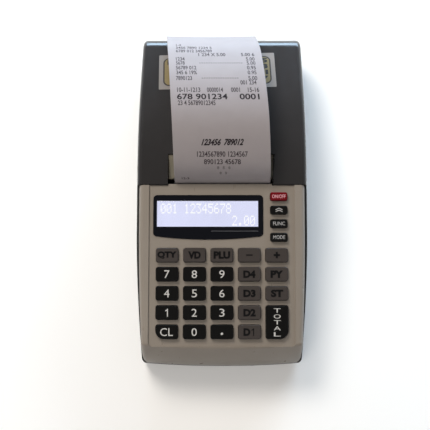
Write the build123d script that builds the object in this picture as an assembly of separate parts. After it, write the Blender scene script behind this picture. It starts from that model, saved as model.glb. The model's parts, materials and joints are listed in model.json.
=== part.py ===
from build123d import *
import math
import os

# ---------------------------------------------------------------- driving dimensions
# Millimetres and degrees. While modelling, Y = 0 is the front edge of the printer cover and
# Z = 0 is the surface that the feet stand on. The finished parts are centred on the length.

# Casing
rear_reach = 107.0
front_reach = 105.6
base_half_width = 52.2
base_nose_half_width = 49.2
base_corner_radius = 2.6
upper_half_width = 50.4
upper_nose_half_width = 48.4
upper_corner_radius = 3.4
cover_half_width = 51.8
straight_reach = 25.0
wall = 2.0
seam = 0.2
foot_height = 1.5
rim_height = 47.5
panel_tilt = 9.6
nose_bow = 2.0
nose_widest_height = 10.0
nose_lean = 9.8
nose_tuck = 1.2
section_heights = (18.0, 26.0, 34.0, 44.0, 60.0)
smallest_radius = 1.0
rear_corner_radius = 3.0
top_edge_radius = 3.0
base_edge_radius = 2.0
ledge_width = 2.6
ledge_depth = 2.5
skirt_depth = 6.5
tail_seam_height = 29.0
nose_seam_height = 9.0
seam_overrun = 4.0
tool_overrun = 1.0
overlap = 0.5

# Printer cover: the highest point and the shoulder of its top, then its rounded tail
crown_at = 27.9
crown_rise = 3.2
shoulder_at = 63.1
shoulder_drop = 0.8
tail_radius = 12.0
tail_centre_height = 26.2
tail_setback = 0.3
tail_rim_height = 26.6
cover_edge_radius = 3.0
cover_gap = 0.3

# Cover hinge
hinge_setback = 6.4
hinge_height = 29.2
barrel_radius = 4.0
disc_radius = 6.6
disc_room_radius = 7.0
rear_wall_height = 25.2
ear_radius = 2.9
ear_inner_x = 42.3
ear_outer_x = 49.4
ear_gap = 0.4
ear_reach = 6.5
ear_post_thickness = 3.9
ear_foot_height = 10.0
ear_web_height = 21.8
hinge_pin_radius = 1.25
hinge_pin_length = 13.0
hinge_pin_bite = 6.5
press_gap = 0.02
running_gap = 0.05

# Paper notch in the cover
notch_left = 32.9
notch_right = 30.7
notch_depth = 19.0
notch_bevel = 2.3
tongue_reach = 0.7
carrier_gap = 0.25
ramp_thickness = 1.8
ramp_front_y = 4.8
ramp_front_height = 45.3
ramp_rear_drop = 1.3
carrier_flange_reach = 12.0
carrier_flange_half_width = 34.0
tear_bar_thickness = 0.8
tear_bar_height = 2.2
tear_bar_margin = 0.6
tear_tooth_pitch = 1.6
tear_tooth_height = 0.7

# Keyboard panel
recess_depth = 1.0
recess_half_width = 44.2
recess_length = 97.3
recess_corner = 3.0
key_width = 13.4
key_height = 8.4
key_corner = 1.3
big_corner = 5.2
column_pitch = 16.5
row_pitch = 11.45
first_row_s = 42.65
sum_key_s = 82.7
sum_key_height = 19.8
side_key_x = 34.5
side_key_width = 10.25
side_key_height = 5.1
side_key_corner = 1.2
side_key_pitch = 8.25
side_key_s = 7.1
key_rise = 1.2
key_edge = 0.6
key_gap = 0.25
flange_gap = 0.25
flange_width = 0.9
flange_thickness = 1.0
plunger_radius = 2.0
plunger_length = 2.6
plunger_hole_gap = 0.3
mat_depth = 7.0
mat_thickness = 1.0
mat_ring_wall = 1.0
mat_ring_height = 1.3
board_thickness = 1.6
mat_half_width = 41.6
board_half_width = 45.2
board_near_s = 36.6
board_far_s = 95.0
side_board_near_s = 4.9
side_board_x = (28.0, 41.4)
mat_margin = 0.5
side_board_overlap = 2.0
board_boss_radius = 1.6
board_boss_x = 43.4
board_boss_s = (41.0, 91.0)
boss_root = 1.0
small_screw_radius = 0.7
small_head_radius = 1.4
small_head_height = 0.9
small_screw_length = 4.5
screw_gap = 0.05

# Display
window_x = (-41.6, 25.1)
window_s = (6.1, 31.0)
window_bow = 2.2
window_corner = 2.4
window_thickness = 1.5
window_proud = 0.5
window_gap = 0.1
glass_x = (-39.4, 22.0)
glass_s = (9.7, 25.4)
glass_margin = 1.6
glass_thickness = 2.8
module_gap = 0.2
display_board_x = (-41.4, 26.4)
display_board_s = (5.6, 30.4)
display_board_thickness = 1.6
display_post_radius = 0.8
display_posts = ((-39.5, 28.9), (25.0, 8.6), (25.0, 27.6))

# Thermal printer
platen_y = 11.0
platen_height = 37.6
platen_radius = 5.0
platen_half_width = 29.0
shaft_radius = 1.5
bush_radius = 2.8
bush_flange_radius = 3.5
bush_flange_thickness = 0.6
cheek_x = (30.2, 32.6)
cheek_radius = 4.4
cheek_rear_y = 22.0
frame_plate_x = (33.7, 34.9)
gear_x = (36.2, 39.2)
shaft_end_gap = 0.8
gear_module = 0.5
platen_teeth = 24
idler_teeth = 28
pinion_teeth = 12
pressure_angle = 20.0
backlash = 0.12
mesh_gap = 0.1
idler_direction = -94.7
pinion_direction = -50.0
gear_stud_radius = 1.5
nip_tilt = 19.0
paper_thickness = 0.25
nip_gap = 0.25
head_thickness = 2.6
head_above = 3.6
head_below = 8.6
head_half_width = 29.5
head_pin_radius = 1.0
heater_width = 4.0
heater_height = 0.15
spring_radius = 1.9
spring_wire = 0.3
spring_turns = 3
spring_x = 18.0
spring_height = 33.0
spring_slack = 0.5
frame_front_y = -2.2
frame_rear_y = 38.0
frame_side_top = 40.4
frame_sheet = 1.2
frame_foot_length = 8.0
frame_screw_inset = 4.0
front_wall_drop = 6.0
slot_gap = 0.4
slot_lean = 14.0
slot_front_lean = 4.5
guide_front_y = 9.6
lip_radius = 1.6
motor_radius = 7.4
motor_length = 18.0
motor_shaft_radius = 0.75
motor_shaft_clearance = 1.0
motor_edge_radius = 0.8

# Paper
paper_width = 58.0
paper_side_gap = 0.6
roll_radius = 19.0
core_radius = 7.0
core_wall = 1.2
roll_y = 62.0
bay_gap = 0.3
bay_wall = 1.5
bay_front_height = 13.0
bay_rear_height = 31.0
bay_foot_width = 16.0
web_gap = 0.3
web_end_angle = 212.0
strip_straight = 12.4
strip_start_drift = 0.3
strip_slot_drift = 0.4
strip_arch = (
    (6.4, 55.7, 0.3),
    (17.3, 62.6, 0.0),
    (34.4, 68.1, -0.8),
    (51.7, 68.5, -1.95),
    (65.0, 66.0, -3.0),
    (76.0, 62.0, -3.95),
    (86.0, 56.9, -4.95),
    (94.5, 49.3, -5.85),
    (105.0, 37.2, -7.2),
)

# Electronics and power
main_board_size = (76.0, 33.0)
main_board_height = 13.0
main_board_y = -24.5
main_board_inset = 4.0
chip_sizes = ((-18.0, -2.0, 14.0, 14.0, 1.6), (12.0, 4.0, 10.0, 7.0, 1.4), (26.0, -6.0, 8.0, 6.0, 5.0))
battery_size = (60.0, 40.0, 14.5)
battery_corner = 3.0
battery_y = -66.0
door_size = (66.0, 47.0)
door_gap = 0.3
door_lip = 1.5
door_lip_thickness = 1.2
door_hook_width = 8.0
door_hook_thickness = 1.2
door_barb_reach = 1.0
door_barb_gap = 0.15
door_barb_height = 1.2
inlet_x = -24.0
inlet_height = 9.0
inlet_body = (9.0, 10.0)
inlet_barrel_radius = 4.0
inlet_bore_radius = 2.85
inlet_depth = 9.0
inlet_pin_radius = 0.95
inlet_pin_setback = 1.0
inlet_setback = 0.3
inlet_gap = 0.15

# Fasteners and feet
case_boss_radius = 3.1
upper_boss_radius = 2.6
boss_split_height = 20.0
case_screw_radius = 1.2
case_screw_length = 9.0
case_head_radius = 2.2
case_head_height = 1.7
case_screw_step = 3.0
case_screw_places = ((-30.0, -95.4), (30.0, -95.4), (-44.3, -13.0), (44.3, -13.0))
case_head_gap = 0.2
floor_boss_radius = 2.4
frame_hole_floor = 0.6
frame_screw_length = 2.4
screw_end_gap = 0.4
foot_radius = 4.0
foot_recess = 0.8
foot_chamfer = 0.5
foot_places = ((-41.0, -84.0), (41.0, -84.0), (-42.0, 92.0), (42.0, 92.0))

# ---------------------------------------------------------------- derived values
tilt = math.radians(panel_tilt)
panel_fall = math.tan(tilt)
floor_top = foot_height + wall
panel_depth = recess_depth + wall
panel = Plane((0, 0, rim_height), (1, 0, 0), (0, -math.sin(tilt), math.cos(tilt)))
hinge_y = rear_reach - hinge_setback
tail_centre = Vector(rear_reach - tail_setback - tail_radius, tail_centre_height)
barrel_half = ear_inner_x - ear_gap
seam_height = rim_height - skirt_depth
seam_fall = (seam_height - tail_seam_height) / hinge_y
roll_height = floor_top + bay_wall + bay_gap + roll_radius
centre_shift = (rear_reach - front_reach) / 2
board_depth = mat_depth + mat_thickness
guide_top = platen_height - platen_radius - 2 * nip_gap - paper_thickness
web_level = guide_top + nip_gap + paper_thickness / 2
tall = 120.0
wide = 200.0

nip = math.radians(nip_tilt)
nip_out = Vector(0, -math.cos(nip), -math.sin(nip))
nip_up = Vector(0, -math.sin(nip), math.cos(nip))
platen_centre = Vector(0, platen_y, platen_height)


def polar(radius, degrees):
    """A step of a given length at an angle in the (Y, Z) plane, counted from +Y towards +Z."""
    angle = math.radians(degrees)
    return Vector(0, radius * math.cos(angle), radius * math.sin(angle))


def flat(point):
    """The (Y, Z) pair of a place, for drawing in the plane square to X."""
    return (point.Y, point.Z)


idler_centre = platen_centre + polar(
    gear_module * (platen_teeth + idler_teeth) / 2 + mesh_gap, idler_direction
)
pinion_centre = idler_centre + polar(
    gear_module * (idler_teeth + pinion_teeth) / 2 + mesh_gap, pinion_direction
)
head_face = platen_centre + nip_out * (platen_radius + 2 * nip_gap + paper_thickness)
head_pivot = head_face - nip_up * head_below + nip_out * (head_thickness / 2)


def save(node, solid):
    """Centres a piece on the register's length and writes it."""
    export_step(Pos(0, -centre_shift, 0) * solid, f"parts/{node}.step")


def along_x(profile, x_low, x_high):
    """Extrudes a face drawn in (Y, Z) from one X to another."""
    return Pos(x_low, 0, 0) * extrude(Plane.YZ * profile, amount=x_high - x_low, dir=(1, 0, 0))


def box_between(low, high):
    """A box from its lowest corner to its highest."""
    size = [high[i] - low[i] for i in range(3)]
    middle = [(high[i] + low[i]) / 2 for i in range(3)]
    return Pos(*middle) * Box(*size)


def rod_x(radius, x_low, x_high, y, z):
    """A round rod along X."""
    return Pos((x_low + x_high) / 2, y, z) * Rot(0, 90, 0) * Cylinder(radius, x_high - x_low)


def rod_y(radius, x, y_low, y_high, z):
    """A round rod along Y."""
    return Pos(x, (y_low + y_high) / 2, z) * Rot(90, 0, 0) * Cylinder(radius, y_high - y_low)


def rod_z(radius, x, y, z_low, z_high):
    """A round rod along Z."""
    return Pos(x, y, (z_low + z_high) / 2) * Cylinder(radius, z_high - z_low)


def rod_on_panel(radius, x, s, shallow, deep):
    """A round rod square to the panel, between two depths under its rim."""
    return panel * Pos(x, -s, -(shallow + deep) / 2) * Cylinder(radius, deep - shallow)


def prism_on_panel(outline, shallow, deep):
    """An outline drawn on the panel, (X, minus distance down the slope), between two depths."""
    return panel * Pos(0, 0, -deep) * extrude(outline, amount=deep - shallow, dir=(0, 0, 1))


def rectangle_on_panel(x_range, s_range, corner=0.0):
    """A rectangle on the panel, with rounded corners if asked for."""
    width = x_range[1] - x_range[0]
    length = s_range[1] - s_range[0]
    outline = RectangleRounded(width, length, corner) if corner else Rectangle(width, length)
    return Pos(sum(x_range) / 2, -sum(s_range) / 2) * outline


def joined(pieces):
    """One piece from several that touch, or a group from several that don't."""
    whole = pieces[0]
    for piece in pieces[1:]:
        whole += piece
    return whole


# ---------------------------------------------------------------- casing
def nose_tip(z):
    """How far forward the nose reaches at a height."""
    top_height = rim_height - front_reach * panel_fall + top_edge_radius
    rise = (z - nose_widest_height) / (top_height - nose_widest_height)
    if rise > 0:
        return -front_reach + nose_lean * rise**1.8
    return -front_reach + nose_tuck * (1 - z / nose_widest_height) ** 2


def plan_outline(half_width, nose_half_width, corner, tip, inset):
    """The case seen from above: straight sides that draw in towards a bowed front."""
    shoulder = tip + nose_bow
    rear_right = (half_width, rear_reach - inset)
    rear_left = (-half_width, rear_reach - inset)
    waist_right = (half_width, -straight_reach)
    waist_left = (-half_width, -straight_reach)
    nose_right = (nose_half_width, shoulder)
    nose_left = (-nose_half_width, shoulder)
    outline = Line(rear_left, rear_right) + Line(rear_right, waist_right)
    outline += TangentArc(waist_right, nose_right, tangent=(0, -1))
    outline += ThreePointArc(nose_right, (0, tip), nose_left)
    outline += TangentArc(waist_left, nose_left, tangent=(0, -1))
    outline += Line(waist_left, rear_left)
    face = make_face(outline)
    face = fillet(face.vertices().sort_by(Axis.Y)[:2], max(corner - inset, smallest_radius))
    return fillet(face.vertices().sort_by(Axis.Y)[-2:], max(rear_corner_radius - inset, smallest_radius))


def case_block(half_width, nose_half_width, corner, inset):
    """A solid of the case's plan at every height, drawn in by inset on all its sides."""
    side = half_width - inset
    nose_side = nose_half_width - inset
    sections = [
        Pos(0, 0, z) * plan_outline(side, nose_side, corner, nose_tip(z) + inset, inset)
        for z in (0.0, nose_widest_height, *section_heights)
    ]
    return loft(sections)


def base_block(inset=0.0):
    """The outer form of the lower case, drawn in by inset."""
    return case_block(base_half_width, base_nose_half_width, base_corner_radius, inset)


def upper_block(inset=0.0):
    """The outer form of the upper case, drawn in by inset."""
    return case_block(upper_half_width, upper_nose_half_width, upper_corner_radius, inset)


def below_seam(lift=0.0):
    """Everything under the line where the lower case ends, raised by lift."""
    middle = (0, seam_height + lift)
    waist = (-straight_reach, seam_height - straight_reach * panel_fall + lift)
    nose = (-front_reach - seam_overrun, nose_seam_height + lift)
    tail_y = rear_reach + seam_overrun
    tail = (tail_y, seam_height - tail_y * seam_fall + lift)
    edge = TangentArc(waist, nose, tangent=(-1, -panel_fall)) + Line(waist, middle) + Line(middle, tail)
    edge += Polyline(tail, (tail[0], -tall), (nose[0], -tall), nose)
    return along_x(make_face(edge), -wide / 2, wide / 2)


def below_panel(depth=0.0):
    """Everything ahead of the cover and under the panel's rim, lowered by depth."""
    return panel * box_between((-wide, -wide, -wide), (wide, wide, -depth))


def above(height):
    """Everything above a height."""
    return box_between((-wide, -wide, height), (wide, wide, tall))


def ahead_of(y):
    """Everything in front of a place along the length."""
    return box_between((-wide, -wide, -tall), (wide, y, tall))


def make_hinge_ears():
    """The two ears that hold the cover's pins, each reaching back from a post at the side wall."""
    ears = []
    front = hinge_y - ear_reach
    post_rear = front + ear_post_thickness
    for side in (-1, 1):
        x_low, x_high = sorted((side * ear_inner_x, side * ear_outer_x))
        ear = rod_x(ear_radius, x_low, x_high, hinge_y, hinge_height)
        ear += box_between((x_low, front, hinge_height - ear_radius), (x_high, hinge_y, hinge_height))
        ear += box_between((x_low, front, ear_foot_height), (x_high, post_rear, hinge_height))
        x_low, x_high = sorted((side * ear_inner_x, side * (base_half_width - wall / 2)))
        ears.append(ear + box_between((x_low, front, ear_foot_height), (x_high, post_rear, ear_web_height)))
    return ears


def hinge_pin_range(side):
    """The X range of one hinge pin, which bites into its ear and reaches into the barrel."""
    outer = ear_inner_x + hinge_pin_bite
    return sorted((side * outer, side * (outer - hinge_pin_length)))


def make_lower_case():
    """The tray: floor, walls, ledge, hinge ears, bosses and the openings in them."""
    body = base_block() & below_seam() & above(foot_height)
    body = fillet(body.faces().sort_by(Axis.Z)[0].edges(), base_edge_radius)
    room = base_block(wall) & below_seam(-ledge_depth)
    mouth = base_block(wall + ledge_width)
    body -= (room + mouth) & above(floor_top)
    body -= rod_x(disc_room_radius, -wide, wide, hinge_y, hinge_height)
    body -= box_between((-wide, hinge_y, rear_wall_height), (wide, wide, tall))
    for ear in make_hinge_ears():
        body += ear
    for side in (-1, 1):
        body -= rod_x(hinge_pin_radius + press_gap, *hinge_pin_range(side), hinge_y, hinge_height)

    # Bosses of the case screws, bored from below
    for x, y in case_screw_places:
        boss = rod_z(case_boss_radius, x, y, foot_height + overlap, boss_split_height)
        body += boss & base_block(wall / 2)
    for x, y in case_screw_places:
        step = boss_split_height - case_screw_step
        body -= rod_z(case_head_radius + case_head_gap, x, y, 0, step)
        body -= rod_z(case_screw_radius + screw_gap, x, y, 0, boss_split_height + tool_overrun)

    # Posts under the main board
    for x, y in main_board_holes():
        body += rod_z(floor_boss_radius, x, y, foot_height + overlap, main_board_height)
        bore_end = main_board_height - small_screw_length
        body -= rod_z(small_screw_radius + screw_gap, x, y, bore_end, main_board_height + tool_overrun)

    # Battery opening, with a lip that the door lies against
    door_x, door_y = door_size
    body += box_between(
        (-door_x / 2 - door_lip, battery_y - door_y / 2 - door_lip, floor_top - overlap),
        (door_x / 2 + door_lip, battery_y + door_y / 2 + door_lip, floor_top + door_lip_thickness),
    )
    body -= box_between(
        (-door_x / 2, battery_y - door_y / 2, 0), (door_x / 2, battery_y + door_y / 2, floor_top)
    )
    body -= box_between(
        (-door_x / 2 + door_lip, battery_y - door_y / 2 + door_lip, 0),
        (door_x / 2 - door_lip, battery_y + door_y / 2 - door_lip, floor_top + 2 * door_lip_thickness),
    )

    # Foot recesses, charger socket hole and the printer frame's screw holes
    for x, y in foot_places:
        body -= rod_z(foot_radius + press_gap, x, y, 0, foot_height + foot_recess)
    inlet_radius = inlet_barrel_radius + inlet_gap
    body -= rod_y(inlet_radius, inlet_x, rear_reach - 2 * wall, rear_reach + tool_overrun, inlet_height)
    for x, y in frame_screw_places():
        hole_end = foot_height + frame_hole_floor
        body -= rod_z(small_screw_radius + screw_gap, x, y, hole_end, floor_top + tool_overrun)
    return body


def main_board_holes():
    """Where the main board is screwed down."""
    half_x = main_board_size[0] / 2 - main_board_inset
    half_y = main_board_size[1] / 2 - main_board_inset
    return [(x, main_board_y + y) for x in (-half_x, half_x) for y in (-half_y, half_y)]


def frame_screw_places():
    """Where the printer frame's turned-out feet are screwed to the floor."""
    x = frame_plate_x[1] + frame_foot_length / 2
    ends = (frame_front_y + frame_screw_inset, frame_rear_y - frame_screw_inset)
    return [(side * x, y) for side in (-1, 1) for y in ends]


def make_upper_case():
    """The light casing: rounded shoulders, recessed panel, key holes and bosses."""
    block = upper_block() & ahead_of(0) & below_panel()
    rim = block.faces().filter_by(lambda face: face.normal_at().Z > 0.9).sort_by(SortBy.AREA)[-1]
    rounded = rim.edges().filter_by(lambda edge: abs((edge @ 0).Y) > 1e-3 or abs((edge @ 1).Y) > 1e-3)
    body = fillet(rounded, top_edge_radius)
    body -= below_seam(seam)
    room = upper_block(wall) & ahead_of(-wall)
    body -= room & below_panel(panel_depth)

    tongue = rectangle_on_panel(
        (-notch_left + carrier_gap, notch_right - carrier_gap), (-tongue_reach, wall)
    )
    body += prism_on_panel(tongue, 0, panel_depth)
    recess = rectangle_on_panel(
        (-recess_half_width, recess_half_width), (-3 * recess_corner, recess_length), recess_corner
    )
    body -= prism_on_panel(recess, -tool_overrun, recess_depth)

    for key in keys:
        body -= prism_on_panel(key_outline(key, key_gap), 0, panel_depth + tool_overrun)
    window_floor = recess_depth - window_proud + window_thickness
    body -= prism_on_panel(window_outline(window_gap), 0, window_floor)
    view = rectangle_on_panel(glass_x, glass_s)
    body -= prism_on_panel(view, 0, panel_depth + tool_overrun)

    for x, y in case_screw_places:
        post = rod_z(upper_boss_radius, x, y, boss_split_height + seam, rim_height)
        body += post & below_panel(panel_depth - boss_root) & upper_block(wall / 2)
        body -= rod_z(
            case_screw_radius + screw_gap, x, y, 0, boss_split_height - case_screw_step + case_screw_length
        )
    for x, s in board_holes():
        body += rod_on_panel(board_boss_radius, x, s, panel_depth - boss_root, board_depth)
        body -= rod_on_panel(
            small_screw_radius + screw_gap, x, s, board_depth + board_thickness - small_screw_length, tall
        )
    for x, s in display_posts:
        body += rod_on_panel(
            display_post_radius, x, s, panel_depth - overlap, panel_depth + module_gap + glass_thickness
        )
    return body


def board_holes():
    """Where the key board is screwed to the panel's bosses."""
    return [(side * board_boss_x, s) for side in (-1, 1) for s in board_boss_s]


# ---------------------------------------------------------------- printer cover
def crown_face(drop, front_y, rear_y):
    """The cover's side view, (Y, Z), lowered by drop and trimmed between two places along it."""
    start = (0, rim_height - drop)
    crown = (crown_at, rim_height + crown_rise - drop)
    shoulder = Vector(shoulder_at, rim_height - shoulder_drop - drop)
    first = ThreePointArc(start, crown, shoulder)

    # The arc that leaves the first one smoothly and lands smoothly on the tail's rounding
    heading = first % 1
    inward = Vector(heading.Y, -heading.X)
    tail = tail_radius - drop
    offset = shoulder - tail_centre
    bend = (tail**2 - offset.dot(offset)) / (2 * (offset.dot(inward) + tail))
    from_bend = tail_centre - shoulder - inward * bend
    landing = tail_centre + from_bend.normalized() * tail
    second = TangentArc(shoulder, landing, tangent=heading)
    rear = tail_centre + Vector(tail, 0)
    third = TangentArc(landing, rear, tangent=second % 1)

    closing = Polyline((rear.X, rear.Y), (rear.X, -tall), (0, -tall), start)
    face = make_face(first + second + third + closing)
    return face & Pos((front_y + rear_y) / 2, 0) * Rectangle(rear_y - front_y, wide * 2)


def make_printer_cover():
    """The lid: a crowned skin with a rounded tail, a hinge barrel in it and a notch for the paper."""
    block = along_x(crown_face(0, cover_gap, rear_reach), -cover_half_width, cover_half_width)
    rear_edges = block.edges().filter_by(Axis.Z).sort_by(Axis.Y)[-2:]
    body = fillet(block.edges().filter_by(GeomType.CIRCLE) + rear_edges, cover_edge_radius)
    inner_half = cover_half_width - wall
    body -= along_x(crown_face(wall, cover_gap + wall, rear_reach), -inner_half, inner_half)
    disc = rod_x(disc_radius, -wide / 2, wide / 2, hinge_y, hinge_height)
    body -= below_seam(seam) - disc
    body -= box_between((-inner_half, hinge_y, 0), (inner_half, wide, tail_rim_height))
    body += rod_x(barrel_radius, -barrel_half, barrel_half, hinge_y, hinge_height)
    for side in (-1, 1):
        body -= rod_x(hinge_pin_radius + running_gap, *hinge_pin_range(side), hinge_y, hinge_height)

    # Paper notch, with a bevelled right edge
    body -= box_between((-notch_left, -1, 0), (notch_right, notch_depth, tall))
    bevel = Polygon(
        (notch_right - 0.1, rim_height - wall),
        (notch_right + notch_bevel, rim_height + crown_rise + wall),
        (notch_right - 0.1, rim_height + crown_rise + wall),
        align=None,
    )
    body -= Pos(0, -1, 0) * extrude(Plane.XZ * bevel, amount=notch_depth + 1, dir=(0, 1, 0))
    return body


def make_platen_carrier():
    """The ramp in the notch, with the two cheeks that carry the platen under it."""
    left = -notch_left + carrier_gap
    right = notch_right - carrier_gap
    rear = notch_depth - carrier_gap
    rear_top = rim_height + crown_rise - ramp_rear_drop
    ramp = Polygon(
        (ramp_front_y, ramp_front_height),
        (rear, rear_top),
        (rear, rear_top - ramp_thickness),
        (ramp_front_y, ramp_front_height - ramp_thickness),
        align=None,
    )
    body = along_x(ramp, left, right)
    flange_rear = notch_depth + carrier_flange_reach
    flange_front = notch_depth - wall
    band = crown_face(wall, flange_front, flange_rear)
    band -= crown_face(wall + ramp_thickness, flange_front, flange_rear)
    body += along_x(band, -carrier_flange_half_width, carrier_flange_half_width)
    for side in (-1, 1):
        x_low, x_high = sorted((side * cheek_x[0], side * cheek_x[1]))
        cheek = Polygon(
            (platen_y - cheek_radius, platen_height),
            (platen_y - cheek_radius, ramp_front_height + 0.3),
            (cheek_rear_y, rim_height + 0.2),
            (cheek_rear_y, rim_height - 2 * ramp_thickness),
            (platen_y + cheek_radius, platen_height),
            align=None,
        )
        body += along_x(cheek, x_low, x_high)
        body += rod_x(cheek_radius, x_low, x_high, platen_y, platen_height)
    body -= rod_x(bush_radius + press_gap, -wide, wide, platen_y, platen_height)
    return body


def make_tear_bar():
    """A thin bar with a row of teeth along its top."""
    low = ramp_front_height - ramp_thickness
    high = ramp_front_height + tear_bar_height - ramp_thickness / 2
    front = ramp_front_y - tear_bar_thickness
    half = paper_width / 2 + tear_bar_margin
    count = int(2 * half / tear_tooth_pitch)
    start = -count * tear_tooth_pitch / 2
    points = [(start, low), (start, high - tear_tooth_height)]
    for i in range(count):
        points.append((start + (i + 0.5) * tear_tooth_pitch, high))
        points.append((start + (i + 1) * tear_tooth_pitch, high - tear_tooth_height))
    points.append((-start, low))
    outline = Plane.XZ * Polygon(*points, align=None)
    return Pos(0, front, 0) * extrude(outline, amount=tear_bar_thickness, dir=(0, 1, 0))


def make_hinge_pins():
    """Two plain pins on the hinge axis."""
    pins = [rod_x(hinge_pin_radius, *hinge_pin_range(side), hinge_y, hinge_height) for side in (-1, 1)]
    return joined(pins)


# ---------------------------------------------------------------- keys
class Key:
    """One key: its name, its middle on the panel, its size, and which corner is wide if any."""

    def __init__(self, name, x, s, width, height, corner, wide_corner=None):
        self.name = name
        self.x = x
        self.s = s
        self.width = width
        self.height = height
        self.corner = corner
        self.wide_corner = wide_corner


def list_keys():
    """All keys of the panel, row by row and then down the side column."""
    rows = (
        ("quantity", "void", "lookup", "minus", "plus"),
        ("7", "8", "9", "dept_4", "pay"),
        ("4", "5", "6", "dept_3", "subtotal"),
        ("1", "2", "3", "dept_2", "sum"),
        ("clear", "0", "point", "dept_1"),
    )
    found = []
    for row, names in enumerate(rows):
        for column, name in enumerate(names):
            x = (column - 2) * column_pitch
            s = first_row_s + row * row_pitch
            height = key_height
            corner = None
            if name == "sum":
                s = sum_key_s
                height = sum_key_height
                corner = (1, -1)
            if name == "clear":
                corner = (-1, -1)
            found.append(Key(name, x, s, key_width, height, key_corner, corner))
    for place, name in enumerate(("power", "feed", "function", "mode")):
        s = side_key_s + place * side_key_pitch
        found.append(Key(name, side_key_x, s, side_key_width, side_key_height, side_key_corner))
    return found


def key_outline(key, grow=0.0):
    """A key's outline on the panel, with one wide corner where it sits in a corner of the block."""
    outline = Rectangle(key.width + 2 * grow, key.height + 2 * grow)
    for corner in outline.vertices():
        across = 1 if corner.X > 0 else -1
        up = 1 if corner.Y > 0 else -1
        radius = big_corner if (across, up) == key.wide_corner else key.corner
        near = outline.vertices().sort_by_distance(corner.center())[0]
        outline = fillet(near, radius + grow)
    return Pos(key.x, -key.s) * outline


def make_key(key):
    """A key cap with a flange that stops it under the panel and a plunger over its switch."""
    cap = extrude(key_outline(key), amount=key_rise + panel_depth + flange_gap)
    cap = fillet(cap.faces().sort_by(Axis.Z)[-1].edges(), key_edge)
    cap = Pos(0, 0, -panel_depth - flange_gap) * cap
    flange_top = -panel_depth - flange_gap
    flange = Pos(0, 0, flange_top - flange_thickness) * extrude(
        key_outline(key, flange_width), amount=flange_thickness
    )
    plunger_top = flange_top - flange_thickness
    plunger = Pos(key.x, -key.s, plunger_top - plunger_length / 2) * Cylinder(plunger_radius, plunger_length)
    return panel * (cap + flange + plunger)


keys = list_keys()


def board_outline(margin, half_width):
    """The L-shaped outline of the key board, or of the mat that lies on it."""
    main = rectangle_on_panel((-half_width, half_width), (board_near_s + margin, board_far_s - margin))
    side_x = (side_board_x[0] + margin, side_board_x[1] - margin)
    side = rectangle_on_panel(side_x, (side_board_near_s + margin, board_near_s + side_board_overlap))
    return main + side


def make_keypad_mat():
    """The rubber mat: a sheet with a low dome ring round every plunger."""
    body = prism_on_panel(board_outline(mat_margin, mat_half_width), mat_depth, board_depth)
    bore = plunger_radius + plunger_hole_gap
    for key in keys:
        body += rod_on_panel(bore + mat_ring_wall, key.x, key.s, mat_depth - mat_ring_height, board_depth)
    for key in keys:
        body -= rod_on_panel(bore, key.x, key.s, 0, board_depth + tool_overrun)
    return body


def make_key_board():
    """The circuit board under the keys, drilled for its screws."""
    body = prism_on_panel(board_outline(0, board_half_width), board_depth, board_depth + board_thickness)
    for x, s in board_holes():
        body -= rod_on_panel(small_screw_radius + screw_gap, x, s, 0, tall)
    return body


# ---------------------------------------------------------------- display
def window_outline(grow=0.0):
    """The display plate: straight top and sides, bowed lower edge, rounded corners."""
    left = window_x[0] - grow
    right = window_x[1] + grow
    top = -window_s[0] + grow
    low = -window_s[1] - grow
    middle = ((left + right) / 2, low - window_bow)
    outline = Polyline((right, low), (right, top), (left, top), (left, low))
    outline += ThreePointArc((left, low), middle, (right, low))
    face = make_face(outline)
    return fillet(face.vertices(), window_corner + grow)


def make_display_window():
    """The glossy plate that lies in its pocket and stands a little proud of the panel."""
    top = recess_depth - window_proud
    return prism_on_panel(window_outline(), top, top + window_thickness)


def make_display_module():
    """The display glass on its own small board."""
    top = panel_depth + module_gap
    glass = rectangle_on_panel(
        (glass_x[0] - glass_margin, glass_x[1] + glass_margin),
        (glass_s[0] - glass_margin, glass_s[1] + glass_margin),
    )
    body = prism_on_panel(glass, top, top + glass_thickness)
    board_top = top + glass_thickness
    board = rectangle_on_panel(display_board_x, display_board_s)
    return body + prism_on_panel(board, board_top, board_top + display_board_thickness)


# ---------------------------------------------------------------- gears
def involute(base_radius, radius):
    """The polar angle at which an involute of a base circle crosses a radius."""
    slant = math.acos(min(base_radius / radius, 1.0))
    return math.tan(slant) - slant


def gear_outline(teeth):
    """A spur gear's outline, with involute flanks thinned by the backlash."""
    pitch = gear_module * teeth / 2
    tip = pitch + gear_module
    root = pitch - 1.25 * gear_module
    base = pitch * math.cos(math.radians(pressure_angle))
    foot = max(base, root)
    half = math.pi / (2 * teeth) - backlash / (2 * pitch) + involute(base, pitch)
    radii = [foot + (tip - foot) * step / 3 for step in range(4)]

    def at(radius, angle):
        return (radius * math.cos(angle), radius * math.sin(angle))

    step_angle = 2 * math.pi / teeth
    edges = []
    for tooth in range(teeth):
        middle = tooth * step_angle
        right = [at(radius, middle - half + involute(base, radius)) for radius in radii]
        left = [at(radius, middle + half - involute(base, radius)) for radius in reversed(radii)]
        root_right = at(root, middle - half)
        root_left = at(root, middle + half)
        next_root = at(root, middle + step_angle - half)
        if foot > root:
            edges.append(Line(root_right, right[0]))
        edges.append(Spline(*right))
        edges.append(Line(right[-1], left[0]))
        edges.append(Spline(*left))
        if foot > root:
            edges.append(Line(left[-1], root_left))
        between = at(root, middle + step_angle / 2)
        edges.append(ThreePointArc(root_left if foot > root else left[-1], between, next_root))
    return make_face(edges)


def make_gear(teeth, bore, centre, turn):
    """A spur gear on an axis along X, its first tooth turned to an angle from +Y."""
    gear = extrude(gear_outline(teeth) - Circle(bore), amount=gear_x[1] - gear_x[0])
    turned = Plane.YZ * Rot(0, 0, turn) * gear
    return Pos(gear_x[0], centre.Y, centre.Z) * turned


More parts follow.
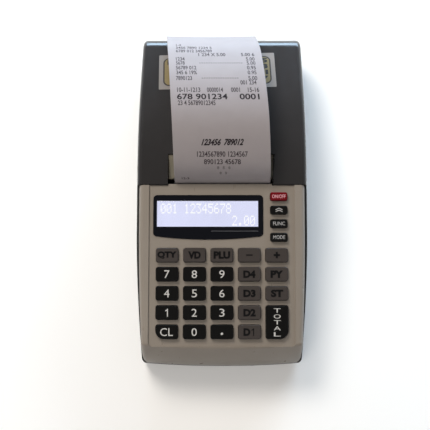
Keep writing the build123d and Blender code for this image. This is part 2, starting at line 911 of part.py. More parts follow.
def meshed_turn(own_teeth, direction, other_teeth, other_turn):
    """The turn that puts a gear's gap where the other gear, at a direction, has its tooth."""
    seen = (direction + 180 - other_turn) / (360 / other_teeth)
    off_tooth = (seen - round(seen)) * 360 / other_teeth
    return direction - 180 / own_teeth + off_tooth * other_teeth / own_teeth


# ---------------------------------------------------------------- printer
def make_platen_parts():
    """The rubber roller, its shaft, the bushes in the cheeks and the driven gear."""
    shaft_ends = (-frame_plate_x[1] - shaft_end_gap, gear_x[1] + shaft_end_gap)
    shaft = rod_x(shaft_radius, *shaft_ends, platen_y, platen_height)
    hole = rod_x(shaft_radius + press_gap, -wide, wide, platen_y, platen_height)
    roller = rod_x(platen_radius, -platen_half_width, platen_half_width, platen_y, platen_height) - hole
    bushes = []
    for side in (-1, 1):
        x_range = sorted((side * cheek_x[0], side * cheek_x[1]))
        rim_range = sorted((side * cheek_x[1], side * (cheek_x[1] + bush_flange_thickness)))
        bush = rod_x(bush_radius, *x_range, platen_y, platen_height)
        bush += rod_x(bush_flange_radius, *rim_range, platen_y, platen_height)
        bushes.append(bush - rod_x(shaft_radius + running_gap, -wide, wide, platen_y, platen_height))
    gear = make_gear(platen_teeth, shaft_radius + press_gap, platen_centre, platen_turn)
    return roller, shaft, joined(bushes), gear


platen_turn = 0.0
idler_turn = meshed_turn(idler_teeth, idler_direction + 180, platen_teeth, platen_turn)
pinion_turn = meshed_turn(pinion_teeth, pinion_direction + 180, idler_teeth, idler_turn)


def make_printer_frame():
    """The sheet-metal frame: two side plates, a front wall, a paper guide and turned-out feet."""
    sides = []
    for side in (-1, 1):
        x_range = sorted((side * frame_plate_x[0], side * frame_plate_x[1]))
        plate = box_between(
            (x_range[0], frame_front_y, floor_top), (x_range[1], frame_rear_y, frame_side_top)
        )
        foot_range = sorted((side * frame_plate_x[0], side * (frame_plate_x[1] + frame_foot_length)))
        plate += box_between(
            (foot_range[0], frame_front_y, floor_top), (foot_range[1], frame_rear_y, floor_top + frame_sheet)
        )
        sides.append(plate)
    body = joined(sides)
    inner = frame_plate_x[0]
    body += box_between(
        (-inner, guide_front_y, guide_top - frame_sheet), (inner, frame_rear_y, guide_top)
    )
    body += rod_x(lip_radius, -inner, inner, frame_rear_y, guide_top - lip_radius)
    body += box_between(
        (-inner, frame_front_y, spring_height - front_wall_drop),
        (inner, frame_front_y + frame_sheet, frame_side_top),
    )

    # Open-topped slots for the platen's shaft, leaning back the way it leaves
    half = shaft_radius + slot_gap
    top = frame_side_top + tool_overrun
    spread = (top - platen_height) * math.tan(math.radians(slot_lean))
    front_spread = (top - platen_height) * math.tan(math.radians(slot_front_lean))
    slot = Polygon(
        (platen_y - half, platen_height),
        (platen_y - half - front_spread, top),
        (platen_y + half + spread, top),
        (platen_y + half, platen_height),
        align=None,
    )
    body -= along_x(slot, -wide, wide)
    body -= rod_x(half, -wide, wide, platen_y, platen_height)
    body -= rod_x(head_pin_radius + running_gap, -wide, wide, head_pivot.Y, head_pivot.Z)

    # Stud for the idler and the hole that the motor's shaft passes through
    stud_end = gear_x[1] + shaft_end_gap
    body += rod_x(gear_stud_radius, frame_plate_x[0], stud_end, idler_centre.Y, idler_centre.Z)
    passage = motor_shaft_radius + motor_shaft_clearance
    body -= rod_x(passage, 0, wide, pinion_centre.Y, pinion_centre.Z)
    for x, y in frame_screw_places():
        body -= rod_z(small_screw_radius + screw_gap, x, y, 0, floor_top + 2 * frame_sheet)
    return body


def make_print_head():
    """The head: a cooling plate with a raised heater strip and the pin that it tips on."""
    foot = head_face - nip_up * head_below
    top = head_face + nip_up * head_above
    back = nip_out * head_thickness
    plate = Polygon(flat(foot), flat(top), flat(top + back), flat(foot + back), align=None)
    body = along_x(plate, -head_half_width, head_half_width)
    strip_low = head_face - nip_up * (heater_width / 2)
    strip_high = head_face + nip_up * (heater_width / 2)
    proud = nip_out * -heater_height
    corners = (strip_low + nip_out, strip_high + nip_out, strip_high + proud, strip_low + proud)
    strip = Polygon(*[flat(corner) for corner in corners], align=None)
    body += along_x(strip, -platen_half_width, platen_half_width)
    body += rod_x(head_pin_radius, -frame_plate_x[1], frame_plate_x[1], head_pivot.Y, head_pivot.Z)
    return body


def make_head_springs():
    """Two short coil springs between the frame's front wall and the head."""
    seat = frame_front_y + frame_sheet
    back = head_face + nip_out * head_thickness
    reach = back.Y - (spring_height - back.Z) * math.tan(nip) - spring_slack - spring_radius * math.tan(nip)
    length = reach - seat - 2 * spring_wire
    turns = []
    for x in (-spring_x, spring_x):
        path = Helix(length / spring_turns, length, spring_radius - spring_wire)
        start = Plane(path @ 0, z_dir=path % 0)
        coil = sweep(start * Circle(spring_wire), path=path)
        turns.append(Pos(x, seat + spring_wire, spring_height) * Rot(-90, 0, 0) * coil)
    return joined(turns)


def make_stepper_motor():
    """The drive motor, a can with a shaft hole, screwed to the inside of the frame's plate."""
    can_end = frame_plate_x[0]
    body = rod_x(motor_radius, can_end - motor_length, can_end, pinion_centre.Y, pinion_centre.Z)
    body = fillet(body.faces().sort_by(Axis.X)[0].edges(), motor_edge_radius)
    bore_depth = motor_length * 0.6
    bore = rod_x(
        motor_shaft_radius + running_gap, can_end - bore_depth, can_end + 1, pinion_centre.Y, pinion_centre.Z
    )
    return body - bore


def make_motor_pinion():
    """The pinion on its shaft, which runs back into the motor."""
    gear = make_gear(pinion_teeth, motor_shaft_radius / 2, pinion_centre, pinion_turn)
    start = frame_plate_x[0] - motor_length / 2
    return gear + rod_x(motor_shaft_radius, start, gear_x[1] + 0.5, pinion_centre.Y, pinion_centre.Z)


# ---------------------------------------------------------------- paper
def make_roll_bay():
    """The bucket that the paper roll lies in, low in front where the paper leaves it."""
    inner = roll_radius + bay_gap
    outer = inner + bay_wall
    half = paper_width / 2 + paper_side_gap
    body = rod_x(outer, -half - bay_wall, half + bay_wall, roll_y, roll_height)
    body += box_between(
        (-half, roll_y - bay_foot_width / 2, floor_top),
        (half, roll_y + bay_foot_width / 2, roll_height - roll_radius / 2),
    )
    body -= rod_x(inner, -half, half, roll_y, roll_height)
    body -= above(bay_rear_height)
    body -= box_between((-half, 0, bay_front_height), (half, roll_y, tall))
    return body


def make_paper_roll():
    """The wound paper, and the tube that it is wound on."""
    half = paper_width / 2
    roll = rod_x(roll_radius, -half, half, roll_y, roll_height)
    roll -= rod_x(core_radius + press_gap, -half - 1, half + 1, roll_y, roll_height)
    core = rod_x(core_radius, -half, half, roll_y, roll_height)
    core -= rod_x(core_radius - core_wall, -half - 1, half + 1, roll_y, roll_height)
    return roll, core


def make_paper_web():
    """The paper from the roll, over the frame's lip and under the platen, to just below the nip."""
    roll_centre = Vector(0, roll_y, roll_height)
    lip_centre = Vector(0, frame_rear_y, guide_top - lip_radius)
    roll_line = roll_radius + web_gap + paper_thickness / 2
    lip_line = lip_radius + nip_gap + paper_thickness / 2
    apart = lip_centre - roll_centre
    across = math.degrees(math.atan2(apart.Z, apart.Y))
    run = across - math.degrees(math.asin((roll_line + lip_line) / apart.length))
    leave = roll_centre + polar(roll_line, run + 90)
    land = lip_centre + polar(lip_line, run - 90)
    crest = lip_centre + polar(lip_line, 90)
    wrap_line = platen_height - web_level
    under = platen_centre + polar(wrap_line, 270)
    end = platen_centre + polar(wrap_line, web_end_angle)
    path = Line(flat(leave), flat(land))
    path += ThreePointArc(flat(land), flat(lip_centre + polar(lip_line, (run - 90 + 90) / 2)), flat(crest))
    path += Line(flat(crest), flat(under))
    path += ThreePointArc(
        flat(under), flat(platen_centre + polar(wrap_line, (270 + web_end_angle) / 2)), flat(end)
    )
    return along_x(trace(path, paper_thickness), -paper_width / 2, paper_width / 2)


def strip_stations():
    """The receipt's route: (Y, Z) of its middle and the sideways drift at each station."""
    nip_line = platen_radius + nip_gap + paper_thickness / 2
    start = platen_centre + nip_out * nip_line
    slot = start + nip_up * strip_straight
    return ((start.Y, start.Z, strip_start_drift), (slot.Y, slot.Z, strip_slot_drift), *strip_arch)


def make_receipt_strip():
    """The printed paper: up through the slot, in an arch back over the cover, drifting aside."""
    stations = strip_stations()
    places = [(y, z) for y, z, drift in stations]
    straight = ((places[0][0] + places[1][0]) / 2, (places[0][1] + places[1][1]) / 2)
    route = Spline(places[0], straight, *places[1:])
    band = along_x(trace(route, paper_thickness), -wide / 2, wide / 2)
    half = paper_width / 2
    middles = [(stations[1][2], -wide)] + [(drift, y) for y, z, drift in stations[1:]]
    middles.append((stations[-1][2], wide))
    left = [(x - half, y) for x, y in middles]
    right = [(x + half, y) for x, y in reversed(middles)]
    return band & extrude(Polygon(*left, *right, align=None), amount=tall, dir=(0, 0, 1))


# ---------------------------------------------------------------- electronics, power, fasteners
def make_main_board():
    """The main circuit board with its larger components."""
    size_x, size_y = main_board_size
    top = main_board_height + board_thickness
    body = Pos(0, main_board_y, top - board_thickness / 2) * Box(size_x, size_y, board_thickness)
    for x, y, chip_x, chip_y, chip_z in chip_sizes:
        body += Pos(x, main_board_y + y, top + chip_z / 2) * Box(chip_x, chip_y, chip_z)
    for x, y in main_board_holes():
        body -= rod_z(small_screw_radius + screw_gap, x, y, 0, tall)
    return body


def make_battery_pack():
    """The rechargeable pack, which lies on its door."""
    size_x, size_y, size_z = battery_size
    pack = Box(size_x, size_y, size_z)
    pack = fillet(pack.edges().filter_by(Axis.X), battery_corner)
    return Pos(0, battery_y, floor_top + size_z / 2) * pack


def make_battery_door():
    """The door in the floor, with a hook at each end that snaps over the lip."""
    size_x = door_size[0] - 2 * door_gap
    size_y = door_size[1] - 2 * door_gap
    body = Pos(0, battery_y, foot_height + wall / 2) * Box(size_x, size_y, wall)
    lip_top = floor_top + door_lip_thickness
    barb_top = lip_top + door_barb_height
    for side in (-1, 1):
        inner_edge = door_size[1] / 2 - door_lip - door_gap / 2
        y_low, y_high = sorted((side * inner_edge, side * (inner_edge - door_hook_thickness)))
        stem = box_between(
            (-door_hook_width / 2, battery_y + y_low, floor_top - overlap),
            (door_hook_width / 2, battery_y + y_high, barb_top),
        )
        y_low, y_high = sorted((side * inner_edge, side * (inner_edge + door_barb_reach)))
        barb = box_between(
            (-door_hook_width / 2, battery_y + y_low, lip_top + door_barb_gap),
            (door_hook_width / 2, battery_y + y_high, barb_top),
        )
        body += stem + barb
    return body


def make_power_inlet():
    """The charger socket: a block behind the rear wall, with a barrel through it and a pin."""
    half_x = inlet_body[0] / 2
    inside = rear_reach - wall
    body = box_between(
        (inlet_x - half_x, inside - inlet_body[1], floor_top),
        (inlet_x + half_x, inside, inlet_height + half_x),
    )
    face = rear_reach - inlet_setback
    body += rod_y(inlet_barrel_radius, inlet_x, inside - overlap, face, inlet_height)
    body -= rod_y(inlet_bore_radius, inlet_x, face - inlet_depth, face + tool_overrun, inlet_height)
    pin_rear = face - inlet_pin_setback
    return body + rod_y(inlet_pin_radius, inlet_x, face - inlet_depth - overlap, pin_rear, inlet_height)


def make_rubber_feet():
    """Four round feet, each let into the floor."""
    feet = []
    for x, y in foot_places:
        foot = rod_z(foot_radius, x, y, 0, foot_height + foot_recess)
        feet.append(chamfer(foot.faces().sort_by(Axis.Z)[0].edges(), foot_chamfer))
    return joined(feet)


def screw(head_radius, head_height, shank_radius, length):
    """A pan-head screw along Z: the head's seat at Z = 0, the head above and the shank below."""
    head = Pos(0, 0, head_height / 2) * Cylinder(head_radius, head_height)
    head = fillet(head.faces().sort_by(Axis.Z)[-1].edges(), head_height * 0.4)
    cross = Box(head_radius * 1.2, head_radius * 0.3, head_height) + Box(
        head_radius * 0.3, head_radius * 1.2, head_height
    )
    head -= Pos(0, 0, head_height) * cross
    return head + Pos(0, 0, -length / 2) * Cylinder(shank_radius, length)


def make_case_screws():
    """The four long screws that hold the two halves of the case together, from below."""
    seat = boss_split_height - case_screw_step
    one = screw(case_head_radius, case_head_height, case_screw_radius, case_screw_length - screw_end_gap)
    return joined([Pos(x, y, seat) * Rot(180, 0, 0) * one for x, y in case_screw_places])


def make_inner_screws():
    """The small screws of the key board, the main board and the printer frame."""
    reach = small_screw_length - screw_end_gap
    small = screw(small_head_radius, small_head_height, small_screw_radius, reach)
    short = screw(small_head_radius, small_head_height, small_screw_radius, frame_screw_length)
    screws = []
    for x, s in board_holes():
        screws.append(panel * Pos(x, -s, -board_depth - board_thickness) * Rot(180, 0, 0) * small)
    for x, y in main_board_holes():
        screws.append(Pos(x, y, main_board_height + board_thickness) * small)
    for x, y in frame_screw_places():
        screws.append(Pos(x, y, floor_top + frame_sheet) * short)
    return joined(screws)


# ---------------------------------------------------------------- build
def main():
    """Makes every piece and writes it to its own file."""
    os.makedirs("parts", exist_ok=True)
    save("lower_case", make_lower_case())
    save("upper_case", make_upper_case())
    save("printer_cover", make_printer_cover())
    save("platen_carrier", make_platen_carrier())
    save("tear_bar", make_tear_bar())
    save("hinge_pins", make_hinge_pins())
    for key in keys:
        save(f"key_{key.name}", make_key(key))
    save("keypad_mat", make_keypad_mat())
    save("key_board", make_key_board())
    save("display_window", make_display_window())
    save("display_module", make_display_module())
    roller, shaft, bushes, gear = make_platen_parts()
    save("platen_roller", roller)
    save("platen_shaft", shaft)
    save("platen_bushes", bushes)
    save("platen_gear", gear)
    save("idler_gear", make_gear(idler_teeth, gear_stud_radius + running_gap, idler_centre, idler_turn))
    save("motor_pinion", make_motor_pinion())
    save("stepper_motor", make_stepper_motor())
    save("printer_frame", make_printer_frame())
    save("print_head", make_print_head())
    save("head_springs", make_head_springs())
    roll, core = make_paper_roll()
    save("paper_roll", roll)
    save("roll_core", core)
    save("roll_bay", make_roll_bay())
    save("paper_web", make_paper_web())
    save("receipt_strip", make_receipt_strip())
    save("main_board", make_main_board())
    save("battery_pack", make_battery_pack())
    save("battery_door", make_battery_door())
    save("power_inlet", make_power_inlet())
    save("rubber_feet", make_rubber_feet())
    save("case_screws", make_case_screws())
    save("inner_screws", make_inner_screws())


main()
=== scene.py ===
"""Looks of a portable cash register with a receipt printer, dressed over its packed construction.

Every length is in metres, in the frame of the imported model: X across the register, +Y towards the
cover's hinge and +Z up. Each sub-assembly is a class, and each surface finish a frozen dataclass.
"""

from __future__ import annotations

import json
import logging
import math
from dataclasses import dataclass
from enum import Enum
from functools import cache

import bmesh
import bpy
import numpy as np
from mathutils import Matrix, Vector
from mathutils.bvhtree import BVHTree

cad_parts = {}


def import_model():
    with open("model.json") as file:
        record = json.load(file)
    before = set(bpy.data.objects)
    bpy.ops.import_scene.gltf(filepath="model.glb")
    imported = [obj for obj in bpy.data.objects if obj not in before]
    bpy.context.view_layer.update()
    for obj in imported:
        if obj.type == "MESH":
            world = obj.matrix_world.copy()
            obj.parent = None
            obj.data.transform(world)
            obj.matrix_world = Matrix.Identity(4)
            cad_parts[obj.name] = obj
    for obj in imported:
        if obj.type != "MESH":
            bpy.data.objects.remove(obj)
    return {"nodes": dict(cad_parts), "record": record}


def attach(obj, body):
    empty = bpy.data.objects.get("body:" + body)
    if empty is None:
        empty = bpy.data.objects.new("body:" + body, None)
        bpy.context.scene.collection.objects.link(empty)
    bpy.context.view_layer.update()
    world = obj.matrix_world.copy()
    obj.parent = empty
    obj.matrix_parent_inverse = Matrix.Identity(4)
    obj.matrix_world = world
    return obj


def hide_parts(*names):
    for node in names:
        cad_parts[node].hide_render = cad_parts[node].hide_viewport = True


LOG = logging.getLogger("register")
MM = 0.001
MERGE_DISTANCE = 1e-7
NOISE_SPAN = (0.3, 0.7)
MIRROR_ROUGHNESS = 0.01
LETTER_STEPS = 3

Triple = tuple[float, float, float]
Colour = Triple


def from_screen(red: int, green: int, blue: int) -> Colour:
    """Turns a colour as a screen shows it into the linear values of a shader, by the sRGB curve.

    Args:
        red: red from 0 to 255.
        green: green from 0 to 255.
        blue: blue from 0 to 255.

    Returns:
        The linear colour.
    """
    shares = [part / 255 for part in (red, green, blue)]
    linear = [c / 12.92 if c <= 0.04045 else ((c + 0.055) / 1.055) ** 2.4 for c in shares]
    return (linear[0], linear[1], linear[2])


def scaled(colour: Colour, factor: float) -> Colour:
    """Makes a colour lighter or darker by a factor, and no lighter than white."""
    return tuple(min(1.0, part * factor) for part in colour)


# ---------------------------------------------------------------- node trees
class NodeTree:
    """A node tree while it is being built."""

    def __init__(self, tree: bpy.types.NodeTree) -> None:
        """Empties the tree that is built in."""
        self.tree = tree
        tree.nodes.clear()

    def add(self, kind: str, inputs: dict[str, object] | None = None, **settings: object) -> bpy.types.Node:
        """Adds a node.

        Args:
            kind: the node's type name.
            inputs: values for its sockets, by their names.
            settings: properties to set on it.

        Returns:
            The new node.
        """
        node = self.tree.nodes.new(kind)
        for key, value in settings.items():
            setattr(node, key, value)
        for name, value in (inputs or {}).items():
            node.inputs[name].default_value = value
        return node

    def link(self, source: bpy.types.Node, output: str, target: bpy.types.Node, socket: str | int) -> None:
        """Joins an output of one node to an input of another."""
        self.tree.links.new(source.outputs[output], target.inputs[socket])

    def shown(self) -> bpy.types.Node:
        """Tells the rays that see the background, straight, in gloss or through glass.

        Returns:
            A node whose Value is 1 for such a ray and 0 for one that only carries light.
        """
        path = self.add("ShaderNodeLightPath")
        node, output = path, "Is Camera Ray"
        for kind in ("Is Glossy Ray", "Is Transmission Ray"):
            either = self.add("ShaderNodeMath", operation="MAXIMUM")
            self.link(node, output, either, 0)
            self.link(path, kind, either, 1)
            node, output = either, "Value"
        return node


# ---------------------------------------------------------------- materials
class Graph(NodeTree):
    """A material's node tree while it is being built."""

    def __init__(self, name: str) -> None:
        """Starts a material with a plain Principled surface.

        Args:
            name: the material's name.
        """
        self.material = bpy.data.materials.new(name)
        self.material.use_nodes = True
        super().__init__(self.material.node_tree)
        self.surface = self.add("ShaderNodeBsdfPrincipled")
        self.link(self.surface, "BSDF", self.add("ShaderNodeOutputMaterial"), "Surface")
        self.coordinates = self.add("ShaderNodeTexCoord")

    def constant(self, **values: object) -> None:
        """Sets values that are the same all over the surface, with _ for a space in a socket's name."""
        for key, value in values.items():
            self.surface.inputs[key.replace("_", " ")].default_value = value

    def noise(self, size: float, detail: float = 2.0, stretch: Triple = (1, 1, 1)) -> bpy.types.Node:
        """Adds noise in object coordinates.

        Args:
            size: the size of a blotch, in metres.
            detail: how many finer layers are added.
            stretch: the factor on each axis before the noise is read.

        Returns:
            The noise node, whose output is Fac.
        """
        mapping = self.add("ShaderNodeMapping", {"Scale": stretch})
        self.link(self.coordinates, "Object", mapping, "Vector")
        noise = self.add("ShaderNodeTexNoise", {"Scale": 1 / size, "Detail": detail})
        self.link(mapping, "Vector", noise, "Vector")
        return noise

    def gloss(self, source: bpy.types.Node, roughness: float, drift: tuple[float, float]) -> None:
        """Lets the surface's roughness drift with a noise.

        Args:
            source: the noise.
            roughness: the roughness that it drifts about.
            drift: how far below and above that it goes.
        """
        low, high = NOISE_SPAN
        span = {"From Min": low, "From Max": high, "To Max": roughness + drift[1]}
        node = self.add("ShaderNodeMapRange", span | {"To Min": max(MIRROR_ROUGHNESS, roughness - drift[0])})
        self.link(source, "Fac", node, "Value")
        self.link(node, "Result", self.surface, "Roughness")

    def blend(
        self,
        source: bpy.types.Node,
        low: Colour,
        high: Colour,
        socket: str = "Base Color",
        span: tuple[float, float] = NOISE_SPAN,
    ) -> None:
        """Runs a colour of the surface from one colour to another with a pattern.

        Args:
            source: the pattern, read at its Fac.
            low: the colour where the pattern is low.
            high: the colour where it is high.
            socket: the surface's socket that takes the colour.
            span: the pattern's values at which the two colours are reached.
        """
        ramp = self.add("ShaderNodeValToRGB")
        for stop, place, colour in zip(ramp.color_ramp.elements, span, (low, high)):
            stop.position = place
            stop.color = (*colour, 1)
        self.link(source, "Fac", ramp, "Fac")
        self.link(ramp, "Color", self.surface, socket)

    def tint(self, colour: Colour, share: float, source: bpy.types.Node) -> None:
        """Lets the base colour drift darker and lighter by a share of itself, with a noise."""
        self.blend(source, scaled(colour, 1 - share), scaled(colour, 1 + share))

    def bump(self, source: bpy.types.Node, height: float) -> None:
        """Raises the surface by a texture.

        Args:
            source: the node whose Fac is the height.
            height: the full height in metres.
        """
        bump = self.add("ShaderNodeBump", {"Strength": 1.0, "Distance": height})
        self.link(source, "Fac", bump, "Height")
        self.link(bump, "Normal", self.surface, "Normal")


@dataclass(frozen=True)
class MouldedPlastic:
    """Injection-moulded plastic with a fine spark-eroded grain, faint clouding and handling marks."""

    name: str
    colour: Colour
    roughness: float = 0.42
    grain_size: float = 0.35 * MM
    grain_height: float = 0.006 * MM
    clouding: float = 0.03
    specular: float = 0.5
    cloud_size: float = 14 * MM
    rub_size: float = 5 * MM
    rub_stretch: Triple = (1.0, 0.45, 1.0)
    rub_drift: tuple[float, float] = (0.05, 0.05)

    def build(self) -> bpy.types.Material:
        """Builds the material and returns it."""
        graph = Graph(self.name)
        graph.constant(Specular_IOR_Level=self.specular)
        graph.tint(self.colour, self.clouding, graph.noise(self.cloud_size, detail=3.0))
        rubbed = graph.noise(self.rub_size, detail=4.0, stretch=self.rub_stretch)
        graph.gloss(rubbed, self.roughness, self.rub_drift)
        graph.bump(graph.noise(self.grain_size), self.grain_height)
        return graph.material


@dataclass(frozen=True)
class Metal:
    """Bare or plated metal, with the fine lines of its rolling or turning along one axis."""

    name: str
    colour: Colour
    roughness: float = 0.32
    lines: Triple = (0.06, 1.0, 1.0)
    line_size: float = 0.25 * MM
    line_height: float = 0.004 * MM
    stain: float = 0.08
    stain_size: float = 6 * MM
    drift: tuple[float, float] = (0.07, 0.09)

    def build(self) -> bpy.types.Material:
        """Builds the material and returns it."""
        graph = Graph(self.name)
        graph.constant(Metallic=1.0)
        graph.tint(self.colour, self.stain, graph.noise(self.stain_size, detail=3.0))
        drawn = graph.noise(self.line_size, stretch=self.lines)
        graph.gloss(drawn, self.roughness, self.drift)
        graph.bump(drawn, self.line_height)
        return graph.material


@dataclass(frozen=True)
class SoftRubber:
    """Matt rubber with a dusty bloom."""

    name: str
    colour: Colour
    roughness: float = 0.78
    bloom: float = 0.14
    bloom_size: float = 3 * MM
    pore_size: float = 0.18 * MM
    pore_depth: float = 0.012 * MM
    drift: tuple[float, float] = (0.06, 0.06)

    def build(self) -> bpy.types.Material:
        """Builds the material and returns it."""
        graph = Graph(self.name)
        graph.constant(Specular_IOR_Level=0.3)
        bloom = graph.noise(self.bloom_size, detail=4.0)
        graph.tint(self.colour, self.bloom, bloom)
        graph.gloss(bloom, self.roughness, self.drift)
        graph.bump(graph.noise(self.pore_size), self.pore_depth)
        return graph.material


@dataclass(frozen=True)
class CoatedPaper:
    """Smooth paper or board with soft fibres and a little light through it."""

    name: str
    colour: Colour
    fibre_size: float = 0.3 * MM
    roughness: float = 0.62
    glow: float = 0.12
    glow_depth: float = 0.3 * MM
    clouding: float = 0.025
    cloud_size: float = 9 * MM
    fibre_stretch: Triple = (1.0, 0.35, 1.0)
    fibre_height: float = 0.006 * MM
    drift: tuple[float, float] = (0.05, 0.05)

    def build(self) -> bpy.types.Material:
        """Builds the material and returns it."""
        graph = Graph(self.name)
        graph.constant(
            Specular_IOR_Level=0.35,
            Subsurface_Weight=self.glow,
            Subsurface_Radius=(1.0, 1.0, 1.0),
            Subsurface_Scale=self.glow_depth,
        )
        graph.tint(self.colour, self.clouding, graph.noise(self.cloud_size, detail=4.0))
        fibres = graph.noise(self.fibre_size, detail=3.0, stretch=self.fibre_stretch)
        graph.gloss(fibres, self.roughness, self.drift)
        graph.bump(fibres, self.fibre_height)
        return graph.material


@dataclass(frozen=True)
class WoundPaper:
    """The side of a wound paper roll, whose turns show as fine rings."""

    name: str
    colour: Colour
    ring_pitch: float = 5 * MM
    ring_waver: float = 0.6
    roll_y: float = 0.0613
    roll_z: float = 0.0243
    shade: float = 0.86
    ring_depth: float = 0.02 * MM

    def build(self) -> bpy.types.Material:
        """Builds the material and returns it."""
        graph = Graph(self.name)
        graph.constant(Specular_IOR_Level=0.3, Roughness=0.7)
        mapping = graph.add("ShaderNodeMapping", {"Location": (0, -self.roll_y, -self.roll_z)})
        graph.link(graph.coordinates, "Object", mapping, "Vector")
        waves = {"Scale": 1 / self.ring_pitch, "Distortion": self.ring_waver}
        rings = graph.add("ShaderNodeTexWave", waves, wave_type="RINGS", rings_direction="X")
        graph.link(mapping, "Vector", rings, "Vector")
        graph.blend(rings, scaled(self.colour, self.shade), self.colour, span=(0.0, 1.0))
        graph.bump(rings, self.ring_depth)
        return graph.material


@dataclass(frozen=True)
class CircuitBoardLacquer:
    """Green solder resist over copper tracks."""

    name: str
    board: Colour
    track: Colour
    track_pitch: float = 5.2 * MM
    track_share: float = 0.03
    track_height: float = 0.03 * MM
    shade: float = 0.8

    def build(self) -> bpy.types.Material:
        """Builds the material and returns it."""
        graph = Graph(self.name)
        graph.constant(Coat_Weight=0.5, Coat_Roughness=0.15, Roughness=0.4)
        paints = {"Color1": self.board, "Color2": scaled(self.board, self.shade), "Mortar": self.track}
        pattern = {name: (*colour, 1) for name, colour in paints.items()}
        pattern |= {"Scale": 1 / self.track_pitch, "Mortar Size": self.track_share}
        cells = graph.add("ShaderNodeTexBrick", pattern)
        graph.link(graph.coordinates, "Object", cells, "Vector")
        graph.link(cells, "Color", graph.surface, "Base Color")
        graph.bump(cells, -self.track_height)
        return graph.material


@dataclass(frozen=True)
class GlossPanel:
    """Polished plate, clear or backed with ink, with the faintest dust in its gloss."""

    name: str
    colour: Colour
    roughness: float = 0.07
    clear: float = 0.0
    refraction: float = 1.49
    dust_size: float = 2.2 * MM
    drift: tuple[float, float] = (0.03, 0.04)

    def build(self) -> bpy.types.Material:
        """Builds the material and returns it."""
        graph = Graph(self.name)
        graph.constant(Base_Color=(*self.colour, 1), Transmission_Weight=self.clear)
        graph.constant(IOR=self.refraction, Specular_IOR_Level=0.5)
        graph.gloss(graph.noise(self.dust_size, detail=5.0), self.roughness, self.drift)
        return graph.material


@dataclass(frozen=True)
class LitGlass:
    """A backlit display, a little uneven over its light guide."""

    name: str
    colour: Colour
    strength: float
    ripple: float = 0.06
    ripple_size: float = 16 * MM
    ripple_stretch: Triple = (1.0, 0.5, 1.0)
    unlit: Colour = (0.02, 0.02, 0.03)

    def build(self) -> bpy.types.Material:
        """Builds the material and returns it."""
        graph = Graph(self.name)
        graph.constant(Base_Color=(*self.unlit, 1), Roughness=0.25, Emission_Strength=self.strength)
        guide = graph.noise(self.ripple_size, stretch=self.ripple_stretch)
        graph.blend(guide, scaled(self.colour, 1 - self.ripple), self.colour, "Emission Color")
        return graph.material


@dataclass(frozen=True)
class PrintedInk:
    """Printed or moulded-in lettering, slightly worn."""

    name: str
    colour: Colour
    roughness: float = 0.5
    wear: float = 0.1
    wear_size: float = 0.7 * MM

    def build(self) -> bpy.types.Material:
        """Builds the material and returns it."""
        graph = Graph(self.name)
        graph.constant(Specular_IOR_Level=0.35, Roughness=self.roughness)
        graph.tint(self.colour, self.wear, graph.noise(self.wear_size, detail=4.0))
        return graph.material


